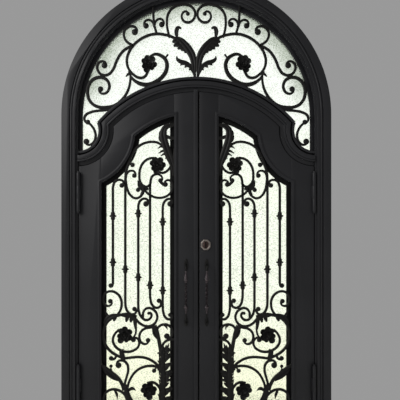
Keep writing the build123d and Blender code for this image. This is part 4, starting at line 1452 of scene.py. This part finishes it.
class DOOR_OT_pulls(bpy.types.Operator):
    """Makes the pair of rope-twist pulls"""

    bl_idname = "door.pulls"
    bl_label = "Pulls"

    def execute(self, context):
        low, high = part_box("left_pull_handle")
        x = (low.x + high.x) / 2
        middle = (low.z + high.z) / 2
        half = (high.z - low.z) / 2
        grip_y = low.y + TWIST_DEPTH * MM
        reach = leaf_face - grip_y
        foot, head = middle - GRIP_FOOT * MM, middle + GRIP_HEAD * MM
        twist = [rope(x, grip_y, foot, head, TWIST_RADIUS, TWIST_TURNS)]
        collars = []
        feet = []
        for side, near, run, plate in PULL_ENDS:
            z_foot = middle + side * (half - plate / 2 * MM)
            z_collar = middle + side * (near + run) * MM
            feet.append(neck(x, leaf_face, reach, z_foot, z_collar))
            feet.append(foot_plate(x, leaf_face, z_foot, plate / 2))
            profile = [(radius, side * share * run) for radius, share in PULL_COLLAR]
            if side < 0:
                profile = profile[::-1]
            collars.append(lathe(profile, 24, (x, grip_y, middle + side * near * MM)))
        # One bronze in lit and shaded copies: the collars keep the pulls' tone, the rope is a darker
        # copy, and the necks and foot plates are black iron, painted shade where less light reaches.
        tone = tuple(context.scene.door_colours.handle)
        dark = tuple(part * 0.45 for part in tone)
        pieces = (
            (collars, "pull_collars", bronze("Oil-rubbed bronze", tone, 0.3)),
            (twist, "rope_pull", bronze("Bronze in painted shade", dark, 0.26)),
            (feet, "pull_feet_in_painted_shade", iron()),
        )
        for parts, name, surface in pieces:
            left = merged(parts)
            smooth(left, 40)
            for side, thing in zip(SIDES, (left, twin(left))):
                nodes = [f"{side}_pull_handle"] if name == "rope_pull" else []
                settle(thing, f"{side}_{name}", f"{side}_leaf", surface, "handle_bronze", *nodes)
        return {"FINISHED"}


class DOOR_OT_deadbolt(bpy.types.Operator):
    """Makes the deadbolt's eight-sided rose, its core, and a black block standing for the keyway's
    painted shade
    """

    bl_idname = "door.deadbolt"
    bl_label = "Deadbolt"

    def execute(self, context):
        low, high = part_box("lock_cylinder")
        x = (low.x + high.x) / 2
        z = (low.z + high.z) / 2
        half = (high.x - low.x) / 2 / MM
        colours = context.scene.door_colours
        corner = half / math.cos(math.pi / 8)
        ring = lathe([
            (corner, 0), (corner, 6), (corner * 0.95, 9.5), (corner * 0.86, 11), (corner * 0.70, 10.5),
            (corner * 0.60, 5),
        ], 8, (0, 0, 0), 22.5)
        ring.data.transform(Matrix.Scale(1.07, 4, (0, 1, 0)))
        round_edges(ring, 2.5 * MM, 3, 25)
        core = block((34, 46, 26), (0, 0, 0), 8, 5)
        # The keyway is a black block proud of the core: painted shade of the keyhole's slot.
        slot = block((9, 40, 6), (0, 0, 12 * MM), 2.4)
        parts = (
            (ring, "deadbolt_rose", bronze("Dull bronze", tuple(colours.lock), 0.34)),
            (core, "deadbolt_core", bronze("Brown bronze", tuple(colours.core), 0.36)),
            (slot, "deadbolt_keyway_shade", material("Black rubber and keyway shade", rubber)),
        )
        for thing, name, finish in parts:
            pick(thing)
            thing.data.transform(Matrix.Rotation(math.pi / 2, 4, "X"))
            thing.data.transform(Matrix.Translation((x, leaf_face, z)))
            smooth(thing, 30)
            nodes = ["lock_cylinder"] if name == "deadbolt_rose" else []
            settle(thing, name, "right_leaf", finish, "lock_bronze", *nodes)
        return {"FINISHED"}


class DOOR_PT_sidebar(bpy.types.Panel):
    """Lists the door's sizes, colours and pieces"""

    bl_idname = "DOOR_PT_sidebar"
    bl_label = "Entry Door"
    bl_space_type = "VIEW_3D"
    bl_region_type = "UI"
    bl_category = "Entry Door"

    def draw(self, context):
        for group in (context.scene.door_sizes, context.scene.door_colours):
            for name in group.__annotations__:
                self.layout.prop(group, name)
        for operator in OPERATORS:
            self.layout.operator(operator.bl_idname)


OPERATORS = (
    DOOR_OT_camera,
    DOOR_OT_stage,
    DOOR_OT_steelwork,
    DOOR_OT_seal,
    DOOR_OT_lip,
    DOOR_OT_glass,
    DOOR_OT_leaf_scrollwork,
    DOOR_OT_roses,
    DOOR_OT_acanthus,
    DOOR_OT_transom_scrollwork,
    DOOR_OT_hinges,
    DOOR_OT_pulls,
    DOOR_OT_deadbolt,
)
CLASSES = (DOOR_PG_sizes, DOOR_PG_colours, *OPERATORS, DOOR_PT_sidebar)


def register():
    for cls in CLASSES:
        bpy.utils.register_class(cls)
    bpy.types.Scene.door_sizes = bpy.props.PointerProperty(type=DOOR_PG_sizes)
    bpy.types.Scene.door_colours = bpy.props.PointerProperty(type=DOOR_PG_colours)


def unregister():
    del bpy.types.Scene.door_colours
    del bpy.types.Scene.door_sizes
    for cls in reversed(CLASSES):
        bpy.utils.unregister_class(cls)


def main():
    register()
    bpy.ops.door.camera()
    bpy.ops.door.stage()
    bpy.ops.door.steelwork()
    bpy.ops.door.seal()
    bpy.ops.door.transom_lip()
    bpy.ops.door.glass()
    bpy.ops.door.leaf_scrollwork()
    bpy.ops.door.roses()
    bpy.ops.door.acanthus()
    bpy.ops.door.transom_scrollwork()
    bpy.ops.door.hinges()
    bpy.ops.door.pulls()
    bpy.ops.door.deadbolt()
    put_down()


if __name__ == "__main__":
    main()
